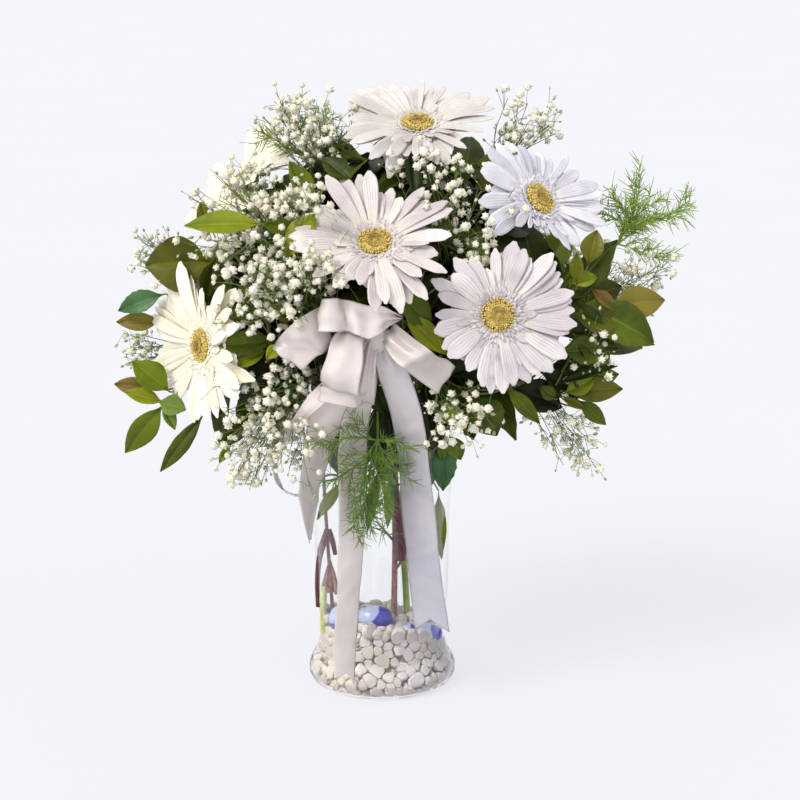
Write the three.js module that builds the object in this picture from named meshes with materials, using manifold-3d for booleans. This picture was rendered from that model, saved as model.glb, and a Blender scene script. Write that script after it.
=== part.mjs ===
import * as THREE from "three";
import { mergeVertices } from "three/addons/utils/BufferGeometryUtils.js";
import Module from "manifold-3d";

const wasm = await Module();
wasm.setup();

// ---------------------------------------------------------------- driving sizes, mm
const GAP = 0.34;               // kept between neighbouring pieces
const VASE_SEGMENTS = 24;
const VASE_HEIGHT = 225.6;
const FLOOR = 6;
const BED_TOP = 34;             // level of the pebble bed
const CHIP_RADIUS = 9;
const PETAL_THICK = 1.3;
const LEAF_THICK = 1.3;
const RIBBON_WIDTH = 25;
const RIBBON_THICK = 1;
const GATHERED = 10;             // width of a ribbon where the knot pinches it
const BLOOM_STEM = 2.5;
const SPRIG_STEM = 1.3;
const SPRAY_STEM = 0.9;
const TWIG = 0.55;
const FLORET = 5;
const NEEDLE_ROOT = 0.5;
const FERN_CORE = 1;
const MIN_PIECE_VOLUME = 0.5;
const SLIVER = 0.18;            // smaller steps than this are folded away

// Radius and height along the outside of the glass, foot to rim.
const OUTSIDE = [
  [41, 0], [46.5, 1.2], [51, 4.5], [53.3, 11], [52, 17], [48.1, 24], [44.3, 40],
  [46.8, 61], [48.2, 110], [49.3, 143], [51.8, 175], [56, 224], [54.5, VASE_HEIGHT],
];
// The same along the inside, rim to floor.
const INSIDE = [
  [53, 224], [48.8, 175], [46.3, 143], [45.2, 110], [43.8, 61], [41.3, 40], [45.1, 24],
  [49, 17], [50, 12], [45, 7.2], [0, FLOOR],
];
const FLOOR_CORNER = 12;

const COLOURS = {
  glass: 0xdfe9ec, pebble: 0xe9e4d8, blue: 0x1d2f86, petal: 0xf4f1ee, disc: 0xe0bd3e,
  stem: 0x6f8f3a, leaf: 0x4c6b22, floret: 0xf3f0e4, fern: 0x5c8c35, ribbon: 0xf0ebe6,
};

// ---------------------------------------------------------------- small helpers
const v = (x, y, z) => new THREE.Vector3(x, y, z);
const at = (p) => v(p[0], p[1], p[2]);
const DOWN = v(0, 0, -1);

function seeded(seed) {
  let state = seed >>> 0;
  return () => {
    state = (state + 0x6d2b79f5) >>> 0;
    let t = state;
    t = Math.imul(t ^ (t >>> 15), t | 1);
    t ^= t + Math.imul(t ^ (t >>> 7), t | 61);
    return ((t ^ (t >>> 14)) >>> 0) / 4294967296;
  };
}

const spread = (random, size) => (random() * 2 - 1) * size;

function solid(positions, indices) {
  let geometry = new THREE.BufferGeometry();
  geometry.setAttribute("position", new THREE.Float32BufferAttribute(positions, 3));
  geometry.setIndex(indices);
  geometry = mergeVertices(geometry, 1e-4);
  const spots = geometry.attributes.position.array;
  const order = [];
  const source = geometry.index.array;
  let volume = 0;
  for (let i = 0; i < source.length; i += 3) {
    const [a, b, c] = [source[i], source[i + 1], source[i + 2]];
    if (a === b || b === c || a === c) continue;
    order.push(a, b, c);
    const [p, q, r] = [a, b, c].map((k) => v(spots[3 * k], spots[3 * k + 1], spots[3 * k + 2]));
    volume += p.dot(q.cross(r));
  }
  if (volume < 0) order.reverse();
  return new wasm.Manifold(new wasm.Mesh({
    numProp: 3,
    vertProperties: new Float32Array(spots),
    triVerts: new Uint32Array(order),
  }));
}

// Closed skin over a row of rings; a ring of one point is a tip.
function skin(rings) {
  const positions = [];
  const indices = [];
  const starts = [];
  for (const ring of rings) {
    starts.push(positions.length / 3);
    for (const p of ring) positions.push(p.x, p.y, p.z);
  }
  for (let i = 0; i + 1 < rings.length; i++) {
    const [lower, upper] = [rings[i], rings[i + 1]];
    const count = Math.max(lower.length, upper.length);
    for (let k = 0; k < count; k++) {
      const n = (k + 1) % count;
      const a = starts[i] + (lower.length > 1 ? k : 0);
      const b = starts[i] + (lower.length > 1 ? n : 0);
      const c = starts[i + 1] + (upper.length > 1 ? n : 0);
      const d = starts[i + 1] + (upper.length > 1 ? k : 0);
      if (lower.length > 1) indices.push(a, b, d);
      if (upper.length > 1) indices.push(b, c, d);
    }
  }
  const cap = (start, count, flip) => {
    for (let k = 1; k + 1 < count; k++) {
      indices.push(start, start + (flip ? k + 1 : k), start + (flip ? k : k + 1));
    }
  };
  const last = rings.length - 1;
  cap(starts[0], rings[0].length, true);
  cap(starts[last], rings[last].length, false);
  return solid(positions, indices);
}

// Body of revolution about Z; a radius of 0 is a pole.
function turned(profile, segments) {
  return skin(profile.map(([radius, z]) => {
    if (radius === 0) return [v(0, 0, z)];
    const ring = [];
    for (let k = 0; k < segments; k++) {
      const angle = (2 * Math.PI * k) / segments;
      ring.push(v(radius * Math.cos(angle), radius * Math.sin(angle), z));
    }
    return ring;
  }));
}

function placedOn(shape, centre, normal) {
  const turn = new THREE.Quaternion().setFromUnitVectors(v(0, 0, 1), normal);
  const matrix = new THREE.Matrix4().compose(centre, turn, v(1, 1, 1));
  return shape.transform(Array.from(matrix.elements));
}

// Round stem along a line of points; radii run from first to last.
function tube(points, firstRadius, lastRadius, sides) {
  const rings = [];
  let side = null;
  points.forEach((p, i) => {
    const before = points[Math.max(0, i - 1)];
    const after = points[Math.min(points.length - 1, i + 1)];
    const along = after.clone().sub(before).normalize();
    if (!side) {
      side = Math.abs(along.z) < 0.9 ? v(0, 0, 1).cross(along) : v(1, 0, 0).cross(along);
    }
    side = side.clone().addScaledVector(along, -side.dot(along)).normalize();
    const other = along.clone().cross(side);
    const share = i / (points.length - 1);
    const radius = firstRadius + (lastRadius - firstRadius) * share;
    const ring = [];
    for (let k = 0; k < sides; k++) {
      const angle = (2 * Math.PI * k) / sides;
      ring.push(p.clone()
        .addScaledVector(side, radius * Math.cos(angle))
        .addScaledVector(other, radius * Math.sin(angle)));
    }
    rings.push(ring);
  });
  return skin(rings);
}

const curveThrough = (points, count) =>
  new THREE.CatmullRomCurve3(points, false, "centripetal").getPoints(count);

// Thin blade (petal, leaf): a diamond section folded up at the sides.
function blade(spine, face, stations, width, thick, fold, rooted) {
  const curve = new THREE.CatmullRomCurve3(spine, false, "centripetal");
  const rings = [];
  const section = (share, wide) => {
    const p = curve.getPoint(share);
    const along = curve.getTangent(share);
    const side = along.clone().cross(face).normalize();
    const up = side.clone().cross(along).normalize();
    const lift = wide * fold;
    return [
      p.clone().addScaledVector(side, wide / 2).addScaledVector(up, lift),
      p.clone().addScaledVector(up, thick / 2),
      p.clone().addScaledVector(side, -wide / 2).addScaledVector(up, lift),
      p.clone().addScaledVector(up, -thick / 2),
    ];
  };
  rings.push(rooted ? section(0, thick * 1.2) : [curve.getPoint(0)]);
  for (const [share, part] of stations) rings.push(section(share, part * width));
  rings.push([curve.getPoint(1)]);
  return skin(rings);
}

// Flat ribbon swept along points; across[i] is the width direction there, widths[i] its width.
function strip(points, across, widths, thick) {
  const rings = points.map((p, i) => {
    const before = points[Math.max(0, i - 1)];
    const after = points[Math.min(points.length - 1, i + 1)];
    const along = after.clone().sub(before).normalize();
    const side = across[i].clone().addScaledVector(along, -across[i].dot(along)).normalize();
    const up = side.clone().cross(along).normalize();
    const [w, t] = [widths[i] / 2, thick / 2];
    return [[w, t], [-w, t], [-w, -t], [w, -t]].map(([a, b]) =>
      p.clone().addScaledVector(side, a).addScaledVector(up, b));
  });
  return skin(rings);
}

function joined(shapes) {
  return wasm.Manifold.union(shapes);
}

// Largest body of a fused node, its sealed hollows filled.
function oneBody(shape) {
  let best = null;
  for (const piece of shape.asOriginal().setTolerance(SLIVER).decompose()) {
    if (piece.volume() < MIN_PIECE_VOLUME) continue;
    if (!best || piece.volume() > best.volume()) best = piece;
  }
  return best;
}

// ---------------------------------------------------------------- the record of what stands where
const placed = [];
const centerpiece = new THREE.Group();
centerpiece.name = "floral_centerpiece";

const apart = (a, b, gap) =>
  a.min.some((low, i) => low > b.max[i] + gap) || b.min.some((low, i) => low > a.max[i] + gap);

function isClear(shape) {
  const box = shape.boundingBox();
  return placed.every((other) =>
    apart(box, other.box, GAP) || shape.minGap(other.shape, 2 * GAP) >= GAP);
}

// Every edge is still shared by two faces once the corners are rounded for the file.
function isSound(body) {
  const { vertProperties, triVerts } = body.getMesh();
  const name = (i) => [0, 1, 2].map((k) => vertProperties[3 * i + k].toFixed(4)).join(" ");
  const edges = new Map();
  for (let i = 0; i < triVerts.length; i += 3) {
    const corners = [triVerts[i], triVerts[i + 1], triVerts[i + 2]].map(name);
    if (new Set(corners).size < 3) continue;
    corners.forEach((corner, k) => {
      const edge = [corner, corners[(k + 1) % 3]].join("|");
      edges.set(edge, (edges.get(edge) || 0) + 1);
    });
  }
  for (const [edge, count] of edges) {
    if (count !== 1 || edges.get(edge.split("|").reverse().join("|")) !== 1) return false;
  }
  return true;
}

// Builds a node of repeats, with another seed if the fused body isn't sound.
const SEED_TRIES = 8;
const SEED_STEP = 1000;
function keepGrown(name, colour, seed, grow) {
  for (let k = 0; k < SEED_TRIES; k++) {
    const parts = grow(seeded(seed + SEED_STEP * k));
    if (!parts) continue;
    const shape = joined(parts);
    if (isSound(oneBody(shape))) {
      keep(name, shape, colour);
      return;
    }
  }
  console.log(`not grown: ${name}`);
}

function keep(name, shape, colour) {
  const body = oneBody(shape);
  if (!isSound(body)) console.log(`not sound: ${name}`);
  const data = body.getMesh();
  const geometry = new THREE.BufferGeometry();
  geometry.setAttribute("position", new THREE.Float32BufferAttribute(data.vertProperties, 3));
  geometry.setIndex(Array.from(data.triVerts));
  geometry.computeVertexNormals();
  const mesh = new THREE.Mesh(geometry, new THREE.MeshStandardMaterial({ color: colour }));
  mesh.name = name;
  centerpiece.add(mesh);
  placed.push({ name, shape: body, box: body.boundingBox() });
}

// ---------------------------------------------------------------- vase
keep("vase", turned([[0, 0], ...OUTSIDE, ...INSIDE], VASE_SEGMENTS), COLOURS.glass);

function insideRadius(z) {
  const rows = INSIDE.filter(([, level]) => level >= FLOOR_CORNER).slice().reverse();
  for (let i = 0; i + 1 < rows.length; i++) {
    const [[r0, z0], [r1, z1]] = [rows[i], rows[i + 1]];
    if (z >= z0 && z <= z1) return r0 + ((r1 - r0) * (z - z0)) / (z1 - z0);
  }
  return z < rows[0][1] ? rows[0][0] : rows[rows.length - 1][0];
}
const FLAT = Math.cos(Math.PI / VASE_SEGMENTS);   // facets stand in from the true circle
const wallReach = (z) => insideRadius(z) * FLAT - GAP;

// ---------------------------------------------------------------- ribbon bow
// Each loop: knot, outer end, width direction of the end, how far the two layers stand apart.
const KNOT = v(-2, -97, 272);
const LOOPS = [
  { end: [-38, -108, 288], across: [0.1, 0, 1], layers: 9 },
  { end: [-63, -104, 262], across: [0.8, 0, -0.6], layers: 9 },
  { end: [-28, -112, 249], across: [1, 0, -0.3], layers: 10 },
  { end: [-9, -103, 238], across: [0.75, 0.5, -0.15], layers: 8 },
  { end: [44, -104, 248], across: [-0.6, 0, -0.8], layers: 9 },
];

function bowLoop({ end, across, layers }) {
  const tip = at(end);
  const out = tip.clone().sub(KNOT);
  const side = at(across).normalize();
  const depth = out.clone().normalize().cross(side).normalize();
  if (depth.y > 0) depth.negate();
  const shares = [[0.14, 0.1], [0.5, 0.6], [0.92, 0.5], [1.0, 0]];
  const points = [];
  for (const [share, bulge] of shares) {
    points.push(KNOT.clone().addScaledVector(out, share).addScaledVector(depth, bulge * layers));
  }
  for (const [share, bulge] of shares.slice(0, -1).reverse()) {
    points.push(KNOT.clone().addScaledVector(out, share).addScaledVector(depth, -bulge * layers));
  }
  const widths = points.map((_, i) =>
    (i === 0 || i === points.length - 1 ? GATHERED : RIBBON_WIDTH));
  return strip(points, points.map(() => side), widths, RIBBON_THICK);
}

const KNOT_SIZE = [11, 8, 13];
function knotBall() {
  const ball = new THREE.IcosahedronGeometry(1, 0);
  ball.scale(KNOT_SIZE[0], KNOT_SIZE[1], KNOT_SIZE[2]);
  ball.translate(KNOT.x, KNOT.y, KNOT.z);
  return solid(Array.from(ball.attributes.position.array),
    Array.from({ length: ball.attributes.position.count }, (_, i) => i));
}

const STRAND_WIDTH = 8;
const STRAND = [[-5, -92, 268], [-11, -70, 248], [-14, -59, 234], [-14, -56, 221]];
const strand = strip(STRAND.map(at), STRAND.map(() => v(1, 0, 0)),
  STRAND.map(() => STRAND_WIDTH), RIBBON_THICK);

// Tails hang from the knot; across[i] turns the strip as it falls.
const TAILS = {
  left: {
    points: [[-6, -99, 262], [-28, -88, 232], [-40, -74, 194], [-47, -68, 158], [-49, -66, 126]],
    across: [[1, 0.1, 0], [1, 0.2, 0.1], [0.95, 0.5, 0], [0.5, 0.9, 0], [0.1, 1, 0]],
    notch: 0,
  },
  centre: {
    points: [[-6, -98, 262], [-15, -86, 236], [-20, -74, 204], [-21, -65, 160], [-22, -62, 86],
      [-26, -66, 52], [-27, -69, 22]],
    across: [[1, 0, 0], [1, 0.1, 0], [1, 0.2, 0], [0.85, 0.55, 0], [0.6, 0.8, 0], [0.6, 0.8, 0],
      [0.65, 0.75, 0]],
    notch: 11,
  },
  right: {
    points: [[2, -98, 262], [9, -90, 238], [17, -72, 198], [22, -63, 142], [26, -61, 104],
      [31, -60, 62]],
    across: [[1, -0.1, 0], [1, -0.1, 0], [0.95, -0.35, 0], [0.95, -0.35, 0], [0.95, -0.3, 0],
      [0.95, -0.3, 0]],
    notch: 12,
  },
};

function ribbonTail({ points, across, notch }) {
  const line = points.map(at);
  const sides = across.map(at);
  const widths = line.map((_, i) => (i ? RIBBON_WIDTH : GATHERED));
  const shape = strip(line, sides, widths, RIBBON_THICK);
  if (!notch) return shape;
  const end = line[line.length - 1];
  const along = end.clone().sub(line[line.length - 2]).normalize();
  const side = sides[sides.length - 1].clone().addScaledVector(along,
    -sides[sides.length - 1].dot(along)).normalize();
  const up = side.clone().cross(along);
  const half = RIBBON_WIDTH * 0.42;
  const wedge = [-1, 1].map((level) => [
    end.clone().addScaledVector(along, 1).addScaledVector(side, half),
    end.clone().addScaledVector(along, 1).addScaledVector(side, -half),
    end.clone().addScaledVector(along, -notch),
  ].map((p) => p.addScaledVector(up, level * RIBBON_THICK * 2)));
  return shape.subtract(skin(wedge));
}

const CURL = [[-14, -99, 256], [-40, -97, 240], [-56, -90, 226], [-68, -84, 204], [-73, -78, 180],
  [-64, -74, 160], [-54, -72, 156]];
const CURL_ACROSS = [[0.4, 0, 1], [0.6, 0, 0.8], [0.5, 0.8, 0.2], [0.2, 0.9, 0], [0.1, 1, 0],
  [0.1, 1, 0.2], [0, 1, 0.3]];
const CURL_WIDTH = 10;

keep("ribbon_bow", joined([
  knotBall(), strand, ...LOOPS.map(bowLoop), ...Object.values(TAILS).map(ribbonTail),
  strip(CURL.map(at), CURL_ACROSS.map(at), CURL.map(() => CURL_WIDTH), RIBBON_THICK),
]), COLOURS.ribbon);

// ---------------------------------------------------------------- stems that lean on the rim
const NECK_END = 172;           // where the leaning stems are cut off inside the neck
const NECK_PLAY = 0.4;
const SLOT_STEP = 0.05;         // radians between the places tried round the rim
const SLOT_TRIES = 60;
const INSET_STEP = 0.45;        // how far in from the glass a stem is tried
const INSET_TRIES = 16;
const SEATED = 0.9;             // a stem this near to another piece leans on it

function leanPath(angle, inset, radius, upper) {
  const out = v(Math.cos(angle), Math.sin(angle), 0);
  const low = out.clone().multiplyScalar(wallReach(NECK_END) - radius - NECK_PLAY - inset * 0.5)
    .setZ(NECK_END);
  const rim = out.clone().multiplyScalar(wallReach(VASE_HEIGHT) - radius - inset)
    .setZ(VASE_HEIGHT);
  return curveThrough([low, rim, ...upper], 3 + upper.length);
}

function isSeated(shape) {
  const box = shape.boundingBox();
  return placed.some((other) =>
    !apart(box, other.box, SEATED) && shape.minGap(other.shape, 2 * SEATED) <= SEATED);
}

// First stem that clears everything already standing, tried round the rim from `wanted`.
function clearStem(slot, radius, upper, sides, random) {
  const wanted = Math.atan2(slot[1], slot[0]);
  for (let k = 0; k < SLOT_TRIES; k++) {
    const offset = Math.ceil(k / 2) * (k % 2 ? 1 : -1) * SLOT_STEP;
    const bent = upper.map((p, i) => (i === upper.length - 1 || k < 2 ? p.clone()
      : p.clone().add(v(spread(random, 7), spread(random, 7), spread(random, 5)))));
    for (let step = 0; step < INSET_TRIES; step++) {
      const points = leanPath(wanted + offset, step * INSET_STEP, radius, bent);
      const shape = tube(points, radius, radius, sides);
      if (isClear(shape) && isSeated(shape)) return { points, shape };
    }
  }
  return null;
}

// Moves a way sideways, short of its last points, until the stem lies against its neighbour.
const LEAN_STEP = 0.3;
const LEAN_TRIES = 60;
function leanTogether(points, lean, radius, tipRadius, sides) {
  let best = null;
  for (let k = 0; k < LEAN_TRIES; k++) {
    const moved = points.map((p, i) => (i < 3
      ? at(p).add(v(lean[0], lean[1], 0).multiplyScalar(LEAN_STEP * k)) : at(p)));
    const line = curveThrough(moved, 3 + 2 * points.length);
    const shape = tube(line, radius, tipRadius, sides);
    if (!isClear(shape)) break;
    best = { points: line, shape };
  }
  return best;
}

function clearThrough(points, radius, tipRadius, sides, random) {
  for (let k = 0; k < SLOT_TRIES; k++) {
    const bent = points.map((p, i) => (k === 0 || i < 2 || i === points.length - 1 ? at(p)
      : at(p).add(v(spread(random, 6), spread(random, 6), spread(random, 4)))));
    const line = curveThrough(bent, 3 + 2 * points.length);
    const shape = tube(line, radius, tipRadius, sides);
    if (isClear(shape)) return { points: line, shape };
  }
  return null;
}

// ---------------------------------------------------------------- gerberas
// centre of the disc, the way the face looks, petal reach, petals below and above, droop.
const BLOOMS = [
  { name: "centre", at: [-5, -97, 337], face: [0, -0.64, 0.77], reach: 58, rows: [10, 7],
    droop: 0.2, slot: [0.2, -1] },
  { name: "right", at: [77, -103, 288], face: [0.08, -0.96, 0.26], reach: 52, rows: [10, 7],
    droop: 0.08, slot: [0.6, -0.8] },
  { name: "top", at: [25, -10, 404], face: [0, -0.39, 0.92], reach: 54, rows: [10, 7],
    droop: 0.26, slot: [1, 0.5] },
  { name: "left", at: [-122, -66, 261], face: [-0.84, -0.54, 0.08], reach: 56, rows: [10, 7],
    droop: 0.12, slot: [-1, -0.5] },
  { name: "upper_right", at: [106, -48, 357], face: [0.58, -0.6, 0.55], reach: 53,
    rows: [10, 7], droop: 0.16, slot: [1, -0.3] },
  { name: "upper_left", at: [-100, 32, 360], face: [-0.7, 0.28, 0.66], reach: 52,
    rows: [10, 7], droop: 0.14, slot: [-1, 0.4] },
  { name: "back", at: [56, 104, 322], face: [0.25, 0.76, 0.6], reach: 53, rows: [10, 7],
    droop: 0.16, through: [[19, 12, 14], [17, 12, 70], [14, 13, 120], [22, 26, 190]] },
];
const HUB = 14;
const HUB_DEPTH = 3.4;
const DISC = 13;
const PETAL_ROOT = 10;
const LAYER_RISE = 4.4;
const PETAL_WIDTH = 14.6;
const PETAL_SHAPE = [[0.42, 0.86], [0.86, 0.88]];
const FRINGE = 12;              // points of the short inner petals
const FRINGE_REACH = 24;
const STAMENS = 10;

function petal(bloom, frame, angle, level, reach, width, random) {
  const out = frame.u.clone().multiplyScalar(Math.cos(angle))
    .addScaledVector(frame.w, Math.sin(angle));
  const sag = bloom.droop * (1.15 - 0.85 * out.z) + spread(random, 0.03);
  const rise = 0.1 + spread(random, 0.02);
  const root = frame.c.clone().addScaledVector(frame.n, -HUB_DEPTH * (0.6 - 0.25 * level))
    .addScaledVector(out, PETAL_ROOT);
  const point = (share) => root.clone()
    .addScaledVector(out, (reach - PETAL_ROOT) * share)
    .addScaledVector(frame.n, reach * (rise * share - 0.12 * share * share))
    .addScaledVector(frame.n, level * LAYER_RISE * Math.min(1, 3 * share))
    .addScaledVector(DOWN, reach * sag * share * share);
  const spine = [0, 0.33, 0.66, 1].map(point);
  return blade(spine, frame.n, PETAL_SHAPE, width, PETAL_THICK, 0.05 + 0.06 * level, false);
}

// A petal in the way of something is tried at other angles and lengths before it is left out.
function clearPetals(bloom, frame, rows, random) {
  const kept = [];
  rows.forEach((count, level) => {
    for (let k = 0; k < count; k++) {
      const angle = (2 * Math.PI * (k + 0.5 * level)) / count + spread(random, 0.05);
      for (let attempt = 0; attempt < 7; attempt++) {
        const reach = bloom.reach * (1 - 0.05 * level - 0.06 * attempt) + spread(random, 2);
        const shape = petal(bloom, frame, angle + spread(random, 0.03 * attempt), level,
          reach, PETAL_WIDTH - level + spread(random, 0.8), random);
        if (isClear(shape)) {
          kept.push(shape);
          break;
        }
      }
    }
  });
  return kept;
}

function faceFrame(centre, face) {
  const n = at(face).normalize();
  const u = Math.abs(n.z) < 0.98 ? v(0, 0, 1).cross(n).normalize() : v(1, 0, 0);
  return { c: at(centre), n, u, w: n.clone().cross(u) };
}

const crownRing = (count, outer, inner, outerZ, innerZ) =>
  Array.from({ length: count }, (_, k) => {
    const angle = (2 * Math.PI * k) / count;
    const [radius, z] = k % 2 ? [inner, innerZ] : [outer, outerZ];
    return v(radius * Math.cos(angle), radius * Math.sin(angle), z);
  });

// Hub under the disc, drawn out into the short inner petals.
const fringedHub = () => skin([[v(0, 0, -HUB_DEPTH)],
  crownRing(2 * FRINGE, HUB - 2, HUB - 2, -HUB_DEPTH, -HUB_DEPTH),
  crownRing(2 * FRINGE, FRINGE_REACH, HUB + 1, 3.4, -0.6),
  crownRing(2 * FRINGE, DISC + 1, DISC + 0.4, 0, 0), [v(0, 0, 0)]]);

// Disc: a low dome with a ring of stamens standing round its sunken middle.
const crownedDisc = () => skin([[v(0, 0, GAP)],
  crownRing(STAMENS, DISC - 2, DISC - 2, GAP, GAP),
  crownRing(STAMENS, DISC - 0.4, DISC - 1.4, 2.6, 1.8),
  crownRing(STAMENS, DISC * 0.72, DISC * 0.72, 5.4, 3.2),
  crownRing(STAMENS, DISC * 0.4, DISC * 0.4, 2.6, 3.2), [v(0, 0, 2.8)]]);

BLOOMS.forEach((bloom, index) => {
  const frame = faceFrame(bloom.at, bloom.face);
  keepGrown(`gerbera_${bloom.name}_petals`, COLOURS.petal, 100 + index, (random) =>
    [placedOn(fringedHub(), frame.c, frame.n), ...clearPetals(bloom, frame, bloom.rows, random)]);
  keep(`gerbera_${bloom.name}_disc`,
    placedOn(crownedDisc(), frame.c, frame.n), COLOURS.disc);

  const calyxTop = -HUB_DEPTH - GAP;
  const calyx = placedOn(turned([[0, calyxTop - 9], [BLOOM_STEM + 0.4, calyxTop - 9],
    [8.6, calyxTop - 4], [HUB * 0.7, calyxTop], [0, calyxTop]], 7), frame.c, frame.n);
  const behind = (far) => frame.c.clone().addScaledVector(frame.n, -far);
  const upper = [behind(46).add(v(0, 0, -12)), behind(HUB_DEPTH + GAP + 4)];
  keepGrown(`gerbera_${bloom.name}_stem`, COLOURS.stem, 200 + index, (random) => {
    const stem = bloom.through
      ? clearThrough([...bloom.through, ...upper.map((p) => p.toArray())], BLOOM_STEM,
        BLOOM_STEM, 5, random)
      : clearStem(bloom.slot, BLOOM_STEM, upper, 5, random);
    return stem && [calyx, stem.shape];
  });
});

// ---------------------------------------------------------------- leafy sprigs
// end of the stem, slot wanted at the rim or a way through the vase, and the leaves:
// share along the stem, tip, width.
const SPRIGS = [
  { name: "upper_left", end: [-100, -78, 328], slot: [-0.8, -1], leaves: [
    [1, [-153, -72, 310], 33], [0.86, [-128, -70, 350], 19], [0.9, [-112, -98, 300], 20],
    [0.8, [-92, -50, 352], 22]] },
  { name: "upper_centre", end: [-52, -46, 370],
    through: [[14, -5, 91], [8, -9, 150], [4, -14, 205], [-8, -18, 256], [-36, -22, 318]],
    lean: [0.4, 1],
    leaves: [[1, [-64, -76, 392], 19], [0.86, [-74, -92, 338], 22], [0.96, [-14, -30, 386], 22],
      [0.8, [-74, -46, 336], 22]] },
  { name: "left", end: [-126, 2, 286], slot: [-1, -0.1], leaves: [
    [1, [-187, -22, 283], 23], [0.94, [-184, 2, 264], 19], [0.8, [-150, 34, 262], 24],
    [0.86, [-140, 14, 322], 22]] },
  { name: "lower_left", end: [-134, -16, 226], slot: [-1, -0.25], leaves: [
    [1, [-169, -44, 250], 20], [1, [-186, -8, 214], 17], [0.95, [-178, -8, 176], 23],
    [0.9, [-146, -14, 160], 14], [0.8, [-108, -60, 186], 20], [0.75, [-120, 26, 196], 22]] },
  { name: "mid_left", end: [-76, -88, 254],
    through: [[-34, -10, 16], [-35, -9, 45], [-37, -10, 110], [-38, -14, 170], [-42, -22, 230],
      [-54, -48, 262]],
    leaves: [[1, [-106, -100, 270], 20], [1, [-56, -116, 284], 16], [0.98, [-92, -104, 232], 18],
      [0.93, [-96, -62, 220], 22]] },
  { name: "bow_right", end: [14, -92, 290], slot: [0.3, -1], leaves: [
    [1, [36, -120, 290], 18], [0.96, [44, -122, 262], 15], [0.85, [44, -70, 312], 22]] },
  { name: "right_upper", end: [128, -74, 290], slot: [1, -0.6], leaves: [
    [1, [146, -74, 338], 18], [0.97, [126, -98, 312], 17], [0.9, [160, -48, 330], 20]] },
  { name: "right", end: [142, -66, 276], slot: [1, -0.45], leaves: [
    [1, [194, -50, 290], 20], [1, [188, -62, 262], 29], [0.93, [166, -70, 222], 25],
    [0.88, [154, -92, 246], 20], [0.84, [182, -20, 250], 24]] },
  { name: "lower_right", end: [94, -72, 234], slot: [0.75, -0.7], leaves: [
    [1, [114, -86, 206], 22], [0.96, [74, -96, 200], 23], [0.98, [130, -84, 224], 18],
    [0.8, [112, -38, 210], 22]] },
  { name: "hanging", end: [48, -66, 208], slot: [0.7, -0.9], leaves: [
    [1, [43, -66, 158], 22], [0.97, [64, -74, 176], 18], [0.9, [28, -74, 186], 15]] },
  { name: "top", end: [58, -26, 372], slot: [1, 0.1], leaves: [
    [1, [92, -42, 388], 20], [0.98, [52, -62, 380], 20], [0.94, [64, 26, 392], 22],
    [0.88, [20, -44, 364], 22]] },
  { name: "back_left", end: [-76, 76, 300], slot: [-0.7, 0.8], leaves: [
    [1, [-118, 104, 292], 24], [1, [-84, 112, 326], 22], [0.9, [-48, 108, 288], 24],
    [0.84, [-104, 92, 250], 24], [0.76, [-70, 92, 228], 24]] },
  { name: "back", end: [-6, 76, 338],
    through: [[8, 2, 14], [9, 3, 70], [9, 4, 130], [4, 14, 200], [0, 40, 270]],
    leaves: [[1, [-28, 112, 356], 24], [1, [18, 92, 386], 22], [0.95, [2, 124, 318], 24],
      [0.86, [-34, 96, 290], 24], [0.84, [26, 104, 268], 22]] },
  { name: "back_right", end: [112, 60, 286], slot: [0.8, 0.8], leaves: [
    [1, [160, 70, 284], 24], [0.97, [136, 44, 328], 22], [0.9, [130, 96, 254], 24],
    [0.82, [90, 100, 238], 24], [0.78, [132, 44, 228], 24]] },
];
const LEAF_SHAPE = [[0.3, 0.74], [0.74, 0.92]];

function leaf(root, tip, width, random) {
  const along = tip.clone().sub(root);
  const length = along.length();
  const outward = root.clone().add(tip).multiplyScalar(0.5).sub(v(0, 0, 250)).normalize();
  const face = outward.add(v(spread(random, 0.35), -0.25, 0.5 + spread(random, 0.3)));
  face.addScaledVector(along, -face.dot(along) / (length * length)).normalize();
  const rise = (share, size) => root.clone().addScaledVector(along, share)
    .addScaledVector(face, size * length);
  return blade([root, rise(0.33, 0.06), rise(0.7, 0.06), tip], face, LEAF_SHAPE, width,
    LEAF_THICK, 0.13, true);
}

function clearLeaf(root, tip, width, random) {
  for (let attempt = 0; attempt < 14; attempt++) {
    const move = attempt * 1.6;
    const to = tip.clone().add(v(spread(random, move), spread(random, move),
      spread(random, move)));
    const shape = leaf(root, to, width * (1 - 0.03 * attempt), random);
    if (isClear(shape)) return shape;
  }
  return null;
}

const onLine = (points, share) =>
  new THREE.CatmullRomCurve3(points, false, "centripetal").getPoint(share);

const OVER_RIM = VASE_HEIGHT + 20;
const WOODY_STEM = 2.4;         // foot of the branches that stand in the pebbles
SPRIGS.forEach((sprig, index) => {
  const end = at(sprig.end);
  const middle = v(end.x * 0.66, end.y * 0.66,
    Math.max(OVER_RIM, VASE_HEIGHT + (end.z - VASE_HEIGHT) * 0.55));
  keepGrown(`leafy_sprig_${sprig.name}`, COLOURS.leaf, 300 + index, (random) => {
    const through = sprig.through && [...sprig.through, sprig.end];
    let way = null;
    if (sprig.lean) way = leanTogether(through, sprig.lean, WOODY_STEM, SPRIG_STEM, 6);
    else if (through) way = clearThrough(through, WOODY_STEM, SPRIG_STEM, 6, random);
    else way = clearStem(sprig.slot, SPRIG_STEM, [middle, end], 5, random);
    if (!way) return null;
    const leaves = sprig.leaves.map(([share, tip, width]) =>
      clearLeaf(onLine(way.points, share), at(tip), width, random));
    return [way.shape, ...leaves.filter(Boolean)];
  });
});

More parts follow.
